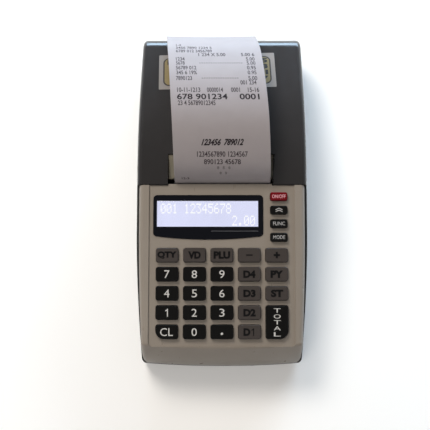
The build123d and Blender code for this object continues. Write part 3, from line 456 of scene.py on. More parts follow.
class Finish(Enum):
    """The finishes of the register, by the record's slot where there is one."""

    BASE = MouldedPlastic("base_plastic", from_screen(52, 51, 50), 0.36)
    CASE = MouldedPlastic("case_plastic", from_screen(144, 135, 125), 0.32, clouding=0.025)
    COVER = MouldedPlastic("cover_plastic", from_screen(47, 45, 45), 0.17, clouding=0.05)
    RAMP = MouldedPlastic("ramp_plastic", from_screen(118, 112, 98), 0.45)
    BUSH = MouldedPlastic("bush_plastic", from_screen(226, 222, 208), 0.4)
    GEAR = MouldedPlastic("gear_plastic", from_screen(214, 208, 190), 0.42)
    INLET = MouldedPlastic("inlet_plastic", from_screen(28, 28, 30), 0.4)
    KEY_DARK = MouldedPlastic("key_dark", from_screen(18, 17, 16), 0.36, specular=0.22)
    KEY_GREY = MouldedPlastic("key_grey", from_screen(66, 60, 57), 0.36, specular=0.4)
    KEY_RED = MouldedPlastic("key_red", from_screen(106, 16, 23), 0.4, specular=0.15)
    STEEL = Metal("steel", from_screen(190, 188, 184), 0.3)
    BRASS = Metal("brass", from_screen(196, 168, 104), 0.3)
    MOTOR = Metal("motor_steel", from_screen(150, 150, 152), 0.38)
    SHEET = Metal("frame_steel", from_screen(176, 178, 180), 0.4)
    HEAD = Metal("head_aluminium", from_screen(198, 200, 204), 0.35)
    SILICONE = SoftRubber("silicone", from_screen(188, 186, 180), 0.6)
    PLATEN = SoftRubber("platen_rubber", from_screen(30, 30, 31), 0.7)
    FOOT = SoftRubber("foot_rubber", from_screen(34, 34, 35), 0.85)
    BOARD = CircuitBoardLacquer("circuit_board", from_screen(18, 84, 52), from_screen(60, 124, 74))
    WINDOW = GlossPanel("window_acrylic", from_screen(10, 11, 18), 0.08)
    DISPLAY = MouldedPlastic("display_glass", from_screen(34, 38, 48), 0.25)
    ROLL = WoundPaper("paper", from_screen(226, 224, 222))
    RECEIPT = CoatedPaper("receipt_paper", from_screen(156, 149, 150))
    CARD = CoatedPaper("cardboard", from_screen(168, 138, 104), 0.6 * MM, 0.8, 0.0)
    BATTERY = MouldedPlastic("battery_wrap", from_screen(44, 74, 120), 0.22)
    CLEAR = GlossPanel("clear_acrylic", (0.98, 0.985, 1.0), 0.04, clear=1.0)
    BACKLIGHT = LitGlass("backlight", from_screen(226, 229, 255), 1.0)
    DOTS = LitGlass("display_dots", (1.0, 1.0, 1.0), 1.06, 0.0)
    LEGEND_WHITE = PrintedInk("legend_white", from_screen(204, 202, 198))
    LEGEND_DARK = PrintedInk("legend_dark", from_screen(8, 7, 7), 0.6, 0.2)
    LEGEND_PINK = PrintedInk("legend_pink", from_screen(236, 180, 186))
    LEGEND_SIDE = PrintedInk("legend_side", from_screen(186, 184, 182))
    LEGEND_GREY = PrintedInk("legend_grey", from_screen(96, 96, 100))
    RECEIPT_INK = PrintedInk("receipt_ink", from_screen(66, 58, 62), 0.7, 0.2)
    RECEIPT_BOLD = PrintedInk("receipt_bold_ink", from_screen(40, 34, 38), 0.7, 0.2)
    LABEL_WHITE = CoatedPaper("label_white", from_screen(132, 124, 118), 0.5 * MM, 0.5, 0.0)
    LABEL_YELLOW = PrintedInk("label_yellow", from_screen(128, 112, 74), 0.6)
    LABEL_LINE = PrintedInk("label_line", from_screen(52, 42, 34), 0.45)
    LABEL_PRINT = PrintedInk("label_print", from_screen(40, 34, 30), 0.5, 0.2)

    @cache
    def material(self) -> bpy.types.Material:
        """Returns the finish's material, built once."""
        return self.value.build()


def dress(piece: bpy.types.Object, finish: Finish) -> None:
    """Gives one finish to the whole of a piece.

    Args:
        piece: the object.
        finish: what its surface is.
    """
    if not piece.data.materials:
        piece.data.materials.append(finish.material())
    for slot in piece.material_slots:
        slot.material = finish.material()


# ---------------------------------------------------------------- mesh helpers
def placed(name: str, data: bpy.types.ID) -> bpy.types.Object:
    """Puts data into the scene as an object.

    Args:
        name: the object's name.
        data: its mesh, curve, lamp or camera.

    Returns:
        The new object, at the origin.
    """
    item = bpy.data.objects.new(name, data)
    bpy.context.scene.collection.objects.link(item)
    return item


def finished(shape: bmesh.types.BMesh, name: str) -> bpy.types.Mesh:
    """Turns a shape into a mesh.

    Args:
        shape: the shape, which is freed.
        name: the mesh's name.

    Returns:
        The new mesh.
    """
    mesh = bpy.data.meshes.new(name)
    shape.to_mesh(mesh)
    shape.free()
    return mesh


def piece_from(
    name: str, vertices: list[Vector], faces: list[tuple[int, ...]], finish: Finish
) -> bpy.types.Object:
    """Makes a piece from points and from faces that already point outwards.

    Args:
        name: the piece's name.
        vertices: its points.
        faces: the point numbers of each face.
        finish: its finish.

    Returns:
        The new object, at the origin.
    """
    mesh = bpy.data.meshes.new(name)
    mesh.from_pydata([tuple(v) for v in vertices], [], faces)
    mesh.update()
    piece = placed(name, mesh)
    dress(piece, finish)
    return piece


def baked(source: bpy.types.Object, name: str) -> bpy.types.Object:
    """Turns an object with modifiers or text into a plain mesh piece and drops the source.

    Args:
        source: the object to evaluate.
        name: the new piece's name.

    Returns:
        The plain mesh object.
    """
    graph = bpy.context.evaluated_depsgraph_get()
    mesh = bpy.data.meshes.new_from_object(source.evaluated_get(graph), depsgraph=graph)
    mesh.name = name
    bpy.data.objects.remove(source)
    return placed(name, mesh)


def lettering(
    text: str,
    height: float,
    width: float | None,
    thickness: float,
    weight: float,
    slant: float = 0.0,
) -> bpy.types.Mesh:
    """Makes letters as a thin solid mesh in the XY plane, centred on the origin.

    Args:
        text: what is written.
        height: the height of the letters.
        width: the width of the whole text, or None for its own width.
        thickness: the thickness of the print.
        weight: how much each stroke is fattened, as a share of the letter size.
        slant: how far the letters lean, as in italics.

    Returns:
        The mesh, with its lower side at Z = 0.
    """
    curve = bpy.data.curves.new("lettering", "FONT")
    curve.body = text
    curve.size = 1.0
    curve.offset = weight
    curve.shear = slant
    curve.resolution_u = LETTER_STEPS
    # The letters are one unit thick, from 0.5 below the plane to 0.5 above it.
    curve.extrude = 0.5
    piece = baked(placed("lettering", curve), "lettering")
    mesh = piece.data
    bpy.data.objects.remove(piece)
    points = np.array([v.co for v in mesh.vertices])
    low, high = points.min(0), points.max(0)
    tall = height / (high[1] - low[1])
    across = tall if width is None else width / (high[0] - low[0])
    middle = (low + high) / 2
    place = Matrix.Diagonal((across, tall, thickness, 1)) @ Matrix.Translation((-middle[0], -middle[1], 0.5))
    mesh.transform(place)
    return mesh


def joined(name: str, meshes: list[bpy.types.Mesh], finish: Finish) -> bpy.types.Object:
    """Joins meshes into one piece.

    Args:
        name: the piece's name.
        meshes: the meshes, already in place.
        finish: its finish.

    Returns:
        The new object.
    """
    whole = bmesh.new()
    for mesh in meshes:
        whole.from_mesh(mesh)
    bmesh.ops.remove_doubles(whole, verts=whole.verts, dist=MERGE_DISTANCE)
    piece = placed(name, finished(whole, name))
    dress(piece, finish)
    return piece


def prism_mesh(outline: list[Vector], thickness: float) -> bpy.types.Mesh:
    """Makes a thin solid from a flat outline.

    Args:
        outline: its corners in the XY plane, clockwise or not.
        thickness: how far it rises above Z = 0.

    Returns:
        The mesh.
    """
    shape = bmesh.new()
    lower = [shape.verts.new((p.x, p.y, 0)) for p in outline]
    face = shape.faces.new(lower)
    risen = bmesh.ops.extrude_face_region(shape, geom=[face])
    tops = [v for v in risen["geom"] if isinstance(v, bmesh.types.BMVert)]
    bmesh.ops.translate(shape, verts=tops, vec=(0, 0, thickness))
    bmesh.ops.recalc_face_normals(shape, faces=shape.faces)
    bmesh.ops.triangulate(shape, faces=shape.faces)
    return finished(shape, "prism")


def closed_grid(
    name: str, upper: list[Vector], lower: list[Vector], span: int, finish: Finish
) -> bpy.types.Object:
    """Closes two grids of points into one thin solid.

    Args:
        name: the piece's name.
        upper: the upper grid, row by row.
        lower: the lower grid, in the same order.
        span: the number of points in a row.
        finish: its finish.

    Returns:
        The piece.
    """
    rows = len(upper) // span
    under = len(upper)
    faces = []
    for r in range(rows - 1):
        for c in range(span - 1):
            a, b = r * span + c, (r + 1) * span + c
            faces.append((a, a + 1, b + 1, b))
            faces.append((under + a, under + b, under + b + 1, under + a + 1))
    border = list(range(span))
    border += [r * span + span - 1 for r in range(1, rows)]
    border += [(rows - 1) * span + c for c in range(span - 2, -1, -1)]
    border += [r * span for r in range(rows - 2, 0, -1)]
    for i, a in enumerate(border):
        b = border[(i + 1) % len(border)]
        faces.append((b, a, under + a, under + b))
    return piece_from(name, upper + lower, faces, finish)


class PatternTree(NodeTree):
    """A Geometry Nodes tree that sets one small solid on every point of a piece."""

    def __init__(self, name: str, solid: str, finish: Finish) -> None:
        """Builds the tree.

        Args:
            name: the tree's name.
            solid: the node that makes the small solid.
            finish: the finish that the tree sets.
        """
        super().__init__(bpy.data.node_groups.new(name, "GeometryNodeTree"))
        face = self.tree.interface
        face.new_socket("Geometry", in_out="INPUT", socket_type="NodeSocketGeometry")
        self.size_socket = face.new_socket("Size", in_out="INPUT", socket_type="NodeSocketVector")
        self.turn_socket = face.new_socket("Turn", in_out="INPUT", socket_type="NodeSocketVector")
        face.new_socket("Geometry", in_out="OUTPUT", socket_type="NodeSocketGeometry")
        entry = self.add("NodeGroupInput")
        place = self.add("GeometryNodeInstanceOnPoints")
        real = self.add("GeometryNodeRealizeInstances")
        paint = self.add("GeometryNodeSetMaterial", {"Material": finish.material()})
        self.link(entry, "Geometry", place, "Points")
        self.link(self.add(solid), "Mesh", place, "Instance")
        self.link(entry, "Turn", place, "Rotation")
        self.link(entry, "Size", place, "Scale")
        self.link(place, "Instances", real, "Geometry")
        self.link(real, "Geometry", paint, "Geometry")
        self.link(paint, "Geometry", self.add("NodeGroupOutput"), "Geometry")

    def spread(self, name: str, points: list[Vector], size: Triple, turn: Triple) -> bpy.types.Object:
        """Sets the solid on each point.

        Args:
            name: the new piece's name.
            points: where the solids go.
            size: each solid's size.
            turn: each solid's turn about the three axes, in radians.

        Returns:
            The plain mesh piece.
        """
        mesh = bpy.data.meshes.new(name)
        mesh.from_pydata([tuple(p) for p in points], [], [])
        source = placed(name + "_points", mesh)
        modifier = source.modifiers.new("pattern", "NODES")
        modifier.node_group = self.tree
        modifier[self.size_socket.identifier] = size
        modifier[self.turn_socket.identifier] = turn
        return baked(source, name)


# ---------------------------------------------------------------- places on the register
PANEL_TILT = math.radians(9.6)
ACROSS = Vector((1, 0, 0))
UP_SLOPE = Vector((0, math.cos(PANEL_TILT), math.sin(PANEL_TILT)))
OFF_PANEL = Vector((0, -math.sin(PANEL_TILT), math.cos(PANEL_TILT)))
LEVEL_SLACK = 0.02 * MM


@dataclass(frozen=True)
class TopFace:
    """The flat top of a part that lies parallel to the keyboard panel."""

    centre: Vector
    width: float
    depth: float

    @classmethod
    def of(cls, node: bpy.types.Object) -> TopFace:
        """Finds the top of a part.

        Args:
            node: the part's object.

        Returns:
            The centre, width and depth of its flat top.
        """
        points = np.array([v.co for v in node.data.vertices])
        height = points @ np.array(OFF_PANEL)
        top = points[height > height.max() - LEVEL_SLACK]
        slope = top @ np.array(UP_SLOPE)
        x = (top[:, 0].min() + top[:, 0].max()) / 2
        middle = (slope.min() + slope.max()) / 2
        centre = ACROSS * x + UP_SLOPE * middle + OFF_PANEL * height.max()
        return cls(centre, float(np.ptp(top[:, 0])), float(np.ptp(slope)))

    def place(self, x: float = 0.0, slope: float = 0.0, lift: float = 0.0) -> Matrix:
        """Gives the matrix that lays a flat drawing on this face.

        Args:
            x: how far right of the centre it goes.
            slope: how far up the slope from the centre it goes.
            lift: how far above the face it goes.

        Returns:
            The matrix.
        """
        spot = self.centre + ACROSS * x + UP_SLOPE * slope + OFF_PANEL * lift
        turn = Matrix((ACROSS, UP_SLOPE, OFF_PANEL)).transposed().to_4x4()
        return Matrix.Translation(spot) @ turn


@dataclass(frozen=True)
class Register:
    """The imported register: its nodes, and the body that each one rides on."""

    nodes: dict[str, bpy.types.Object]
    body: dict[str, str]
    slots: dict[str, str]

    @classmethod
    def load(cls) -> Register:
        """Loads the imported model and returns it."""
        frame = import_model()
        record = frame["record"]
        body = {n: b for b, nodes in record["behaviour"]["bodies"].items() for n in nodes}
        slots = {part["node"]: part["material_slot"] for part in record["subparts"]}
        return cls(frame["nodes"], body, slots)

    def dress_nodes(self) -> None:
        """Gives every node the finish of its slot, in place of its plain packed colour."""
        for plain in bpy.data.materials:
            plain.name = f"packed_{plain.name}"
        finishes = {finish.value.name: finish for finish in Finish}
        for name, node in self.nodes.items():
            dress(node, finishes[self.slots[name]])


# ---------------------------------------------------------------- keyboard
class Ink(Enum):
    """The colours that the key legends are printed in."""

    WHITE = Finish.LEGEND_WHITE
    DARK = Finish.LEGEND_DARK
    PINK = Finish.LEGEND_PINK
    SIDE = Finish.LEGEND_SIDE


@dataclass(frozen=True)
class Legend:
    """What is printed on one key, and how large."""

    key: str
    text: str
    ink: Ink
    height: float
    width: float | None = None
    weight: float = 0.03
    across: float = 0.0


@dataclass
class Keyboard:
    """The legends of the 28 keys."""

    digit_height: float = 4.7 * MM
    digit_width: float = 3.2 * MM
    plain_weight: float = 0.0
    word_height: float = 4.5 * MM
    word_weight: float = 0.055
    small_height: float = 2.2 * MM
    small_width: float = 7.1 * MM
    letter_height: float = 2.5 * MM
    letter_width: float = 4.2 * MM
    letter_pitch: float = 3.5 * MM
    arrow_width: float = 4.2 * MM
    arrow_height: float = 0.95 * MM
    arrow_stroke: float = 0.5 * MM
    arrow_pitch: float = 0.6 * MM
    plus_size: float = 3.8 * MM
    plus_weight: float = 0.05
    minus_width: float = 3.9 * MM
    minus_height: float = 0.8 * MM
    clear_width: float = 7.6 * MM
    power_width: float = 8.2 * MM
    point_size: float = 1.5 * MM
    point_drop: float = 1.0 * MM
    lone_letter_width: float = 4.1 * MM
    lone_letter_across: float = -1.6 * MM
    lone_digit_across: float = 1.9 * MM
    print_thickness: float = 0.03 * MM
    print_lift: float = -0.005 * MM
    tall_word: str = "TOTAL"
    # A one with a flag, about its own centre and with a height of 1.
    flagged_one: tuple[tuple[float, float], ...] = (
        (0.04, -0.5),
        (0.17, -0.5),
        (0.17, 0.5),
        (0.08, 0.5),
        (0.0, 0.39),
        (-0.18, 0.29),
        (-0.18, 0.16),
        (0.04, 0.26),
    )

    def legends(self) -> list[Legend]:
        """Lists the one-line legends."""
        size, weight = self.digit_height, self.plain_weight
        digits = [
            Legend(f"key_{digit}", str(digit), Ink.WHITE, size, self.digit_width, weight)
            for digit in range(10)
        ]
        # The word on each grey key, and how wide it is in mm.
        functions = {
            "quantity": ("QTY", 11.6),
            "void": ("VD", 7.6),
            "lookup": ("PLU", 9.9),
            "dept_4": ("D4", 7.3),
            "dept_3": ("D3", 7.3),
            "dept_2": ("D2", 7.3),
            "pay": ("PY", 7.6),
            "subtotal": ("ST", 7.4),
        }
        tall, bold = self.word_height, self.word_weight
        words = [
            Legend(f"key_{key}", text, Ink.DARK, tall, width * MM, bold)
            for key, (text, width) in functions.items()
        ]
        words += [
            Legend("key_dept_1", "D", Ink.DARK, tall, self.lone_letter_width, bold, self.lone_letter_across),
            Legend("key_dept_1", "1", Ink.DARK, tall, across=self.lone_digit_across),
        ]
        signs = [
            Legend("key_plus", "+", Ink.DARK, self.plus_size, self.plus_size, self.plus_weight),
            Legend("key_minus", "-", Ink.DARK, self.minus_height, self.minus_width),
            Legend("key_clear", "CL", Ink.WHITE, size, self.clear_width, weight),
            Legend("key_point", ".", Ink.WHITE, self.point_size, self.point_size),
        ]
        side = [
            Legend("key_power", "ON/OFF", Ink.PINK, self.small_height, self.power_width, weight),
            Legend("key_function", "FUNC", Ink.SIDE, self.small_height, self.small_width, weight),
            Legend("key_mode", "MODE", Ink.SIDE, self.small_height, self.small_width, weight),
        ]
        return digits + words + signs + side

    def word(self, legend: Legend, face: TopFace) -> bpy.types.Mesh:
        """Lays a one-line legend on its key.

        Args:
            legend: what is printed.
            face: the key's top.

        Returns:
            The mesh in place.
        """
        if legend.text == "1":
            corners = [Vector(p) * legend.height for p in self.flagged_one]
            mesh = prism_mesh(corners, self.print_thickness)
        else:
            mesh = lettering(legend.text, legend.height, legend.width, self.print_thickness, legend.weight)
        slope = -self.point_drop if legend.key == "key_point" else 0.0
        mesh.transform(face.place(legend.across, slope, self.print_lift))
        return mesh

    def stacked(self, face: TopFace) -> list[bpy.types.Mesh]:
        """Lays the tall key's word on it, one letter under another.

        Args:
            face: the key's top.

        Returns:
            One mesh per letter.
        """
        meshes = []
        for row, letter in enumerate(self.tall_word):
            size = (self.letter_height, self.letter_width, self.print_thickness)
            mesh = lettering(letter, *size, self.plain_weight)
            step = ((len(self.tall_word) - 1) / 2 - row) * self.letter_pitch
            mesh.transform(face.place(slope=step, lift=self.print_lift))
            meshes.append(mesh)
        return meshes

    def arrows(self, face: TopFace) -> list[bpy.types.Mesh]:
        """Lays the paper feed's two upward arrows on its key.

        Args:
            face: the key's top.

        Returns:
            One mesh per arrow.
        """
        half, rise, stroke = self.arrow_width / 2, self.arrow_height, self.arrow_stroke
        outline = [(-half, 0), (0, rise), (half, 0), (half, -stroke), (0, rise - stroke), (-half, -stroke)]
        meshes = []
        for step in (-self.arrow_pitch, self.arrow_pitch):
            mesh = prism_mesh([Vector((x, y)) for x, y in outline], self.print_thickness)
            mesh.transform(face.place(slope=step - (rise - stroke) / 2, lift=self.print_lift))
            meshes.append(mesh)
        return meshes

    def build(self, register: Register) -> None:
        """Prints every key.

        Args:
            register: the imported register.
        """
        for legend in self.legends():
            face = TopFace.of(register.nodes[legend.key])
            self.add(register, legend.key, [self.word(legend, face)], legend.ink)
        self.add(register, "key_sum", self.stacked(TopFace.of(register.nodes["key_sum"])), Ink.WHITE)
        self.add(register, "key_feed", self.arrows(TopFace.of(register.nodes["key_feed"])), Ink.SIDE)

    def add(self, register: Register, key: str, meshes: list[bpy.types.Mesh], ink: Ink) -> None:
        """Makes one key's legend a piece that rides on the key.

        Args:
            register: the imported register.
            key: the key's node.
            meshes: the print, already in place.
            ink: its colour.
        """
        piece = joined(key.replace("key_", "legend_"), meshes, ink.value)
        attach(piece, register.body[key])
        LOG.info("%s rides on %s", piece.name, register.body[key])


# ---------------------------------------------------------------- display
# Which dots each character lights, from its top row down.
DOT_PATTERNS = {
    " ": ("",),
    ".": ("", "", "", "", "", ".##..", ".##.."),
    "0": (".###.", "#...#", "#..##", "#.#.#", "##..#", "#...#", ".###."),
    "1": ("..#..", ".##..", "..#..", "..#..", "..#..", "..#..", ".###."),
    "2": (".###.", "#...#", "....#", "...#.", "..#..", ".#...", "#####"),
    "3": ("#####", "...#.", "..#..", "...#.", "....#", "#...#", ".###."),
    "4": ("...#.", "..##.", ".#.#.", "#..#.", "#####", "...#.", "...#."),
    "5": ("#####", "#....", "####.", "....#", "....#", "#...#", ".###."),
    "6": ("..##.", ".#...", "#....", "####.", "#...#", "#...#", ".###."),
    "7": ("#####", "....#", "...#.", "..#..", ".#...", ".#...", ".#..."),
    "8": (".###.", "#...#", "#...#", ".###.", "#...#", "#...#", ".###."),
    "9": (".###.", "#...#", "#...#", ".####", "....#", "...#.", ".##.."),
}


@dataclass
class Display:
    """The black window with its clear pane, and the lit two-line display behind it."""

    outline_corner: float = 2.4 * MM
    lower_bow: float = 2.2 * MM
    corner_steps: int = 8
    bow_steps: int = 24
    plate: float = 1.5 * MM
    chamfer: float = 0.25 * MM
    glass_margin: float = 1.6 * MM
    pane_play: float = 0.02 * MM
    pane_corner: float = 0.4 * MM
    lit_spill: float = 0.5 * MM
    lit_thickness: float = 0.05 * MM
    character_pitch: float = 3.63 * MM
    first_character: float = 2.0 * MM
    dot_width: float = 0.56 * MM
    dot_pitch_x: float = 0.62 * MM
    dot_pitch_y: float = 0.88 * MM
    dot_height: float = 0.8 * MM
    dot_thickness: float = 0.02 * MM
    row_tops: tuple[float, float] = (1.3 * MM, 8.7 * MM)
    rule_length: float = 28.6 * MM
    rule_width: float = 0.3 * MM
    rule_drop: float = 2.65 * MM
    line_thickness: float = 0.03 * MM
    columns: int = 16
    upper_line: str = "001 12345678"
    lower_line: str = "2.00"

    def rounded(self, low: Vector, high: Vector, corner: float, bow: float = 0.0) -> list[Vector]:
        """Draws a rounded rectangle whose lower side may bow outwards.

        Args:
            low: its lowest corner, before the bow.
            high: its highest corner.
            corner: the corner radius.
            bow: how far the middle of the lower side stands out.

        Returns:
            The outline, anticlockwise from the right side.
        """
        width = high.x - low.x
        middle = (high.x + low.x) / 2

        def bowed(x: float) -> float:
            """Gives the height of the lower side at x."""
            return low.y - bow * (1 - (2 * (x - middle) / width) ** 2)

        shoulder = bowed(high.x - corner) + corner
        centres = [
            (high.x - corner, high.y - corner, 0),
            (low.x + corner, high.y - corner, 90),
            (low.x + corner, shoulder, 180),
            (high.x - corner, shoulder, 270),
        ]
        points = []
        for x, y, start in centres:
            for step in range(self.corner_steps + 1):
                angle = math.radians(start + 90 * step / self.corner_steps)
                points.append(Vector((x + corner * math.cos(angle), y + corner * math.sin(angle))))
            if start == 180:
                for step in range(1, self.bow_steps):
                    across = low.x + corner + (width - 2 * corner) * step / self.bow_steps
                    points.append(Vector((across, bowed(across))))
        return points

    def ring(self, outer: list[Vector], hole: list[Vector]) -> bpy.types.Mesh:
        """Makes the window's plate, with its upper outer edge chamfered and a hole for the pane.

        Args:
            outer: the plate's outline.
            hole: the hole's outline, with as many points.

        Returns:
            The mesh, with its top at Z = 0.
        """
        middle = sum(outer, Vector((0, 0))) / len(outer)
        inset = [p - (p - middle).normalized() * self.chamfer for p in outer]
        levels = [
            (hole, -self.plate),
            (hole, 0.0),
            (inset, 0.0),
            (outer, -self.chamfer),
            (outer, -self.plate),
        ]
        shape = bmesh.new()
        loops = [[shape.verts.new((p.x, p.y, z)) for p in line] for line, z in levels]
        count = len(outer)
        for index, loop in enumerate(loops):
            after = loops[(index + 1) % len(loops)]
            for i in range(count):
                j = (i + 1) % count
                shape.faces.new((loop[i], loop[j], after[j], after[i]))
        bmesh.ops.recalc_face_normals(shape, faces=shape.faces)
        return finished(shape, "ring")

    def dots(self, line: str, first_column: int, top: float, origin: Vector) -> list[Vector]:
        """Lists the lit dots of one line.

        Args:
            line: what it shows.
            first_column: the column that it starts in.
            top: how far below the display's upper edge it starts.
            origin: the upper left corner of the lit area.

        Returns:
            The centre of each dot.
        """
        found = []
        for place, character in enumerate(line):
            left = self.first_character + (first_column + place) * self.character_pitch
            for row, pattern in enumerate(DOT_PATTERNS[character]):
                for column, lit in enumerate(pattern):
                    if lit == "#":
                        x = left + (column + 0.5) * self.dot_pitch_x
                        y = top + (row + 0.5) * self.dot_pitch_y
                        found.append(origin + ACROSS * x - UP_SLOPE * y)
        return found

    def build(self, register: Register) -> None:
        """Makes the window, its pane, the backlight, the dots and the printed rule.

        Args:
            register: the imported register.
        """
        glass = TopFace.of(register.nodes["display_module"])
        window = TopFace.of(register.nodes["display_window"])
        body = register.body["display_window"]
        half_x = glass.width / 2 - self.glass_margin
        half_y = glass.depth / 2 - self.glass_margin
        offset = glass.centre - window.centre
        seen = Vector((offset.dot(ACROSS), offset.dot(UP_SLOPE)))
        half = Vector((half_x, half_y))
        play = Vector((self.pane_play, self.pane_play))

        outer = self.window_outline(window)
        hole = self.matched(outer, seen - half, seen + half)
        ring = self.ring(outer, hole)
        ring.transform(window.place())
        bezel = joined("window_bezel", [ring], Finish.WINDOW)
        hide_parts("display_window")
        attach(bezel, body)

        corners = self.rounded(seen - half + play, seen + half - play, self.pane_corner)
        pane_mesh = prism_mesh(corners, self.plate)
        pane_mesh.transform(window.place(lift=-self.plate))
        pane = joined("window_pane", [pane_mesh], Finish.CLEAR)
        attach(pane, body)

        lit_half = half + Vector((self.lit_spill, self.lit_spill))
        lit_mesh = prism_mesh(self.rounded(-lit_half, lit_half, self.pane_corner), self.lit_thickness)
        lit_mesh.transform(glass.place())
        lit = joined("display_backlight", [lit_mesh], Finish.BACKLIGHT)
        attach(lit, body)

        top_left = glass.centre - ACROSS * half_x + UP_SLOPE * half_y + OFF_PANEL * self.lit_thickness
        points = self.dots(self.upper_line, 0, self.row_tops[0], top_left)
        last = self.columns - len(self.lower_line)
        points += self.dots(self.lower_line, last, self.row_tops[1], top_left)
        tree = PatternTree("display_dots", "GeometryNodeMeshCube", Finish.DOTS)
        size = (self.dot_width, self.dot_height, 2 * self.dot_thickness)
        dots = tree.spread("display_characters", points, size, (PANEL_TILT, 0, 0))
        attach(dots, body)

        rule_left = seen.x + half_x - self.rule_length
        rule_y = seen.y - half_y - self.rule_drop
        low = Vector((rule_left, rule_y - self.rule_width / 2))
        high = Vector((rule_left + self.rule_length, rule_y + self.rule_width / 2))
        rule_mesh = prism_mesh(self.rounded(low, high, self.rule_width / 3), self.line_thickness)
        rule_mesh.transform(window.place(lift=-self.line_thickness / 2))
        rule = joined("window_rule", [rule_mesh], Finish.LEGEND_GREY)
        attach(rule, body)
        LOG.info("display with %d lit dots", len(points))

    def window_outline(self, window: TopFace) -> list[Vector]:
        """Draws the window's outline about the centre of its top.

        Args:
            window: its top.

        Returns:
            The outline.
        """
        half = Vector((window.width / 2, window.depth / 2))
        low = Vector((-half.x, -half.y + self.lower_bow))
        return self.rounded(low, half, self.outline_corner, self.lower_bow)

    def matched(self, outer: list[Vector], low: Vector, high: Vector) -> list[Vector]:
        """Gives the hole, which runs from low to high, a point for each point of the plate's outline."""
        return [Vector((min(max(p.x, low.x), high.x), min(max(p.y, low.y), high.y))) for p in outer]


# ---------------------------------------------------------------- receipt
@dataclass(frozen=True)
class PrintedRow:
    """One printed row of the receipt: how far from the slot it lies, and its words."""

    along: float
    words: tuple[tuple[str, float], ...]
    height: float = 3.2 * MM
    character: float = 1.42 * MM
    slant: float = 0.0
    weight: float = 0.02


# How far each row lies from the slot in mm, and where each of its words starts.
LIGHT_ROWS = (
    PrintedRow(101.4, (("1-2", -23.6),), character=1.2 * MM),
    PrintedRow(97.2, (("3456 7890 1234 5", -23.8),)),
    PrintedRow(93.1, (("6789 012 3456789", -23.9),)),
    PrintedRow(89.3, (("1 234 X 5.00", -10.2), ("5.00 6", 16.2))),
    PrintedRow(85.1, (("1234", -24.3), ("5.00", 18.8))),
    PrintedRow(81.4, (("5678", -24.5), ("...................", -10.3), ("5.00", 18.9))),
    PrintedRow(77.3, (("56789 012", -24.7), ("0.95", 18.7))),
    PrintedRow(73.3, (("345 6 19%", -24.6), ("0.95", 18.7))),
    PrintedRow(68.9, (("7890123", -25.0), ("................", -9.6), ("5.00", 18.7))),
    PrintedRow(65.7, (("001 234", 13.6),)),
    PrintedRow(60.5, (("10-11-1213", -24.8), ("0000014", -6.9), ("0001", 7.5), ("15-16", 17.6))),
    PrintedRow(51.8, (("23 4 56789012345", -24.8),)),
    PrintedRow(20.9, (("1234567890 1234567", -14.9),), character=1.7 * MM, height=3.4 * MM),
    PrintedRow(16.3, (("890123 45678", -10.9),), character=1.86 * MM, height=3.2 * MM),
    PrintedRow(5.0, (("12-3", -24.6),), height=1.6 * MM, character=1.2 * MM),
)
BOLD_ROWS = (
    PrintedRow(55.9, (("678 901234", -25.1), ("0001", 12.3)), 3.9 * MM, 3.05 * MM),
    PrintedRow(28.0, (("123456", -12.2), ("789012", 1.2)), 4.0 * MM, 2.05 * MM, 0.45, 0.04),
    PrintedRow(12.6, (("*  *  *", -3.2),), 2.2 * MM, 1.2 * MM, weight=0.0),
    PrintedRow(9.0, (("*  *", -1.7),), 2.3 * MM, 1.2 * MM, weight=0.0),
)


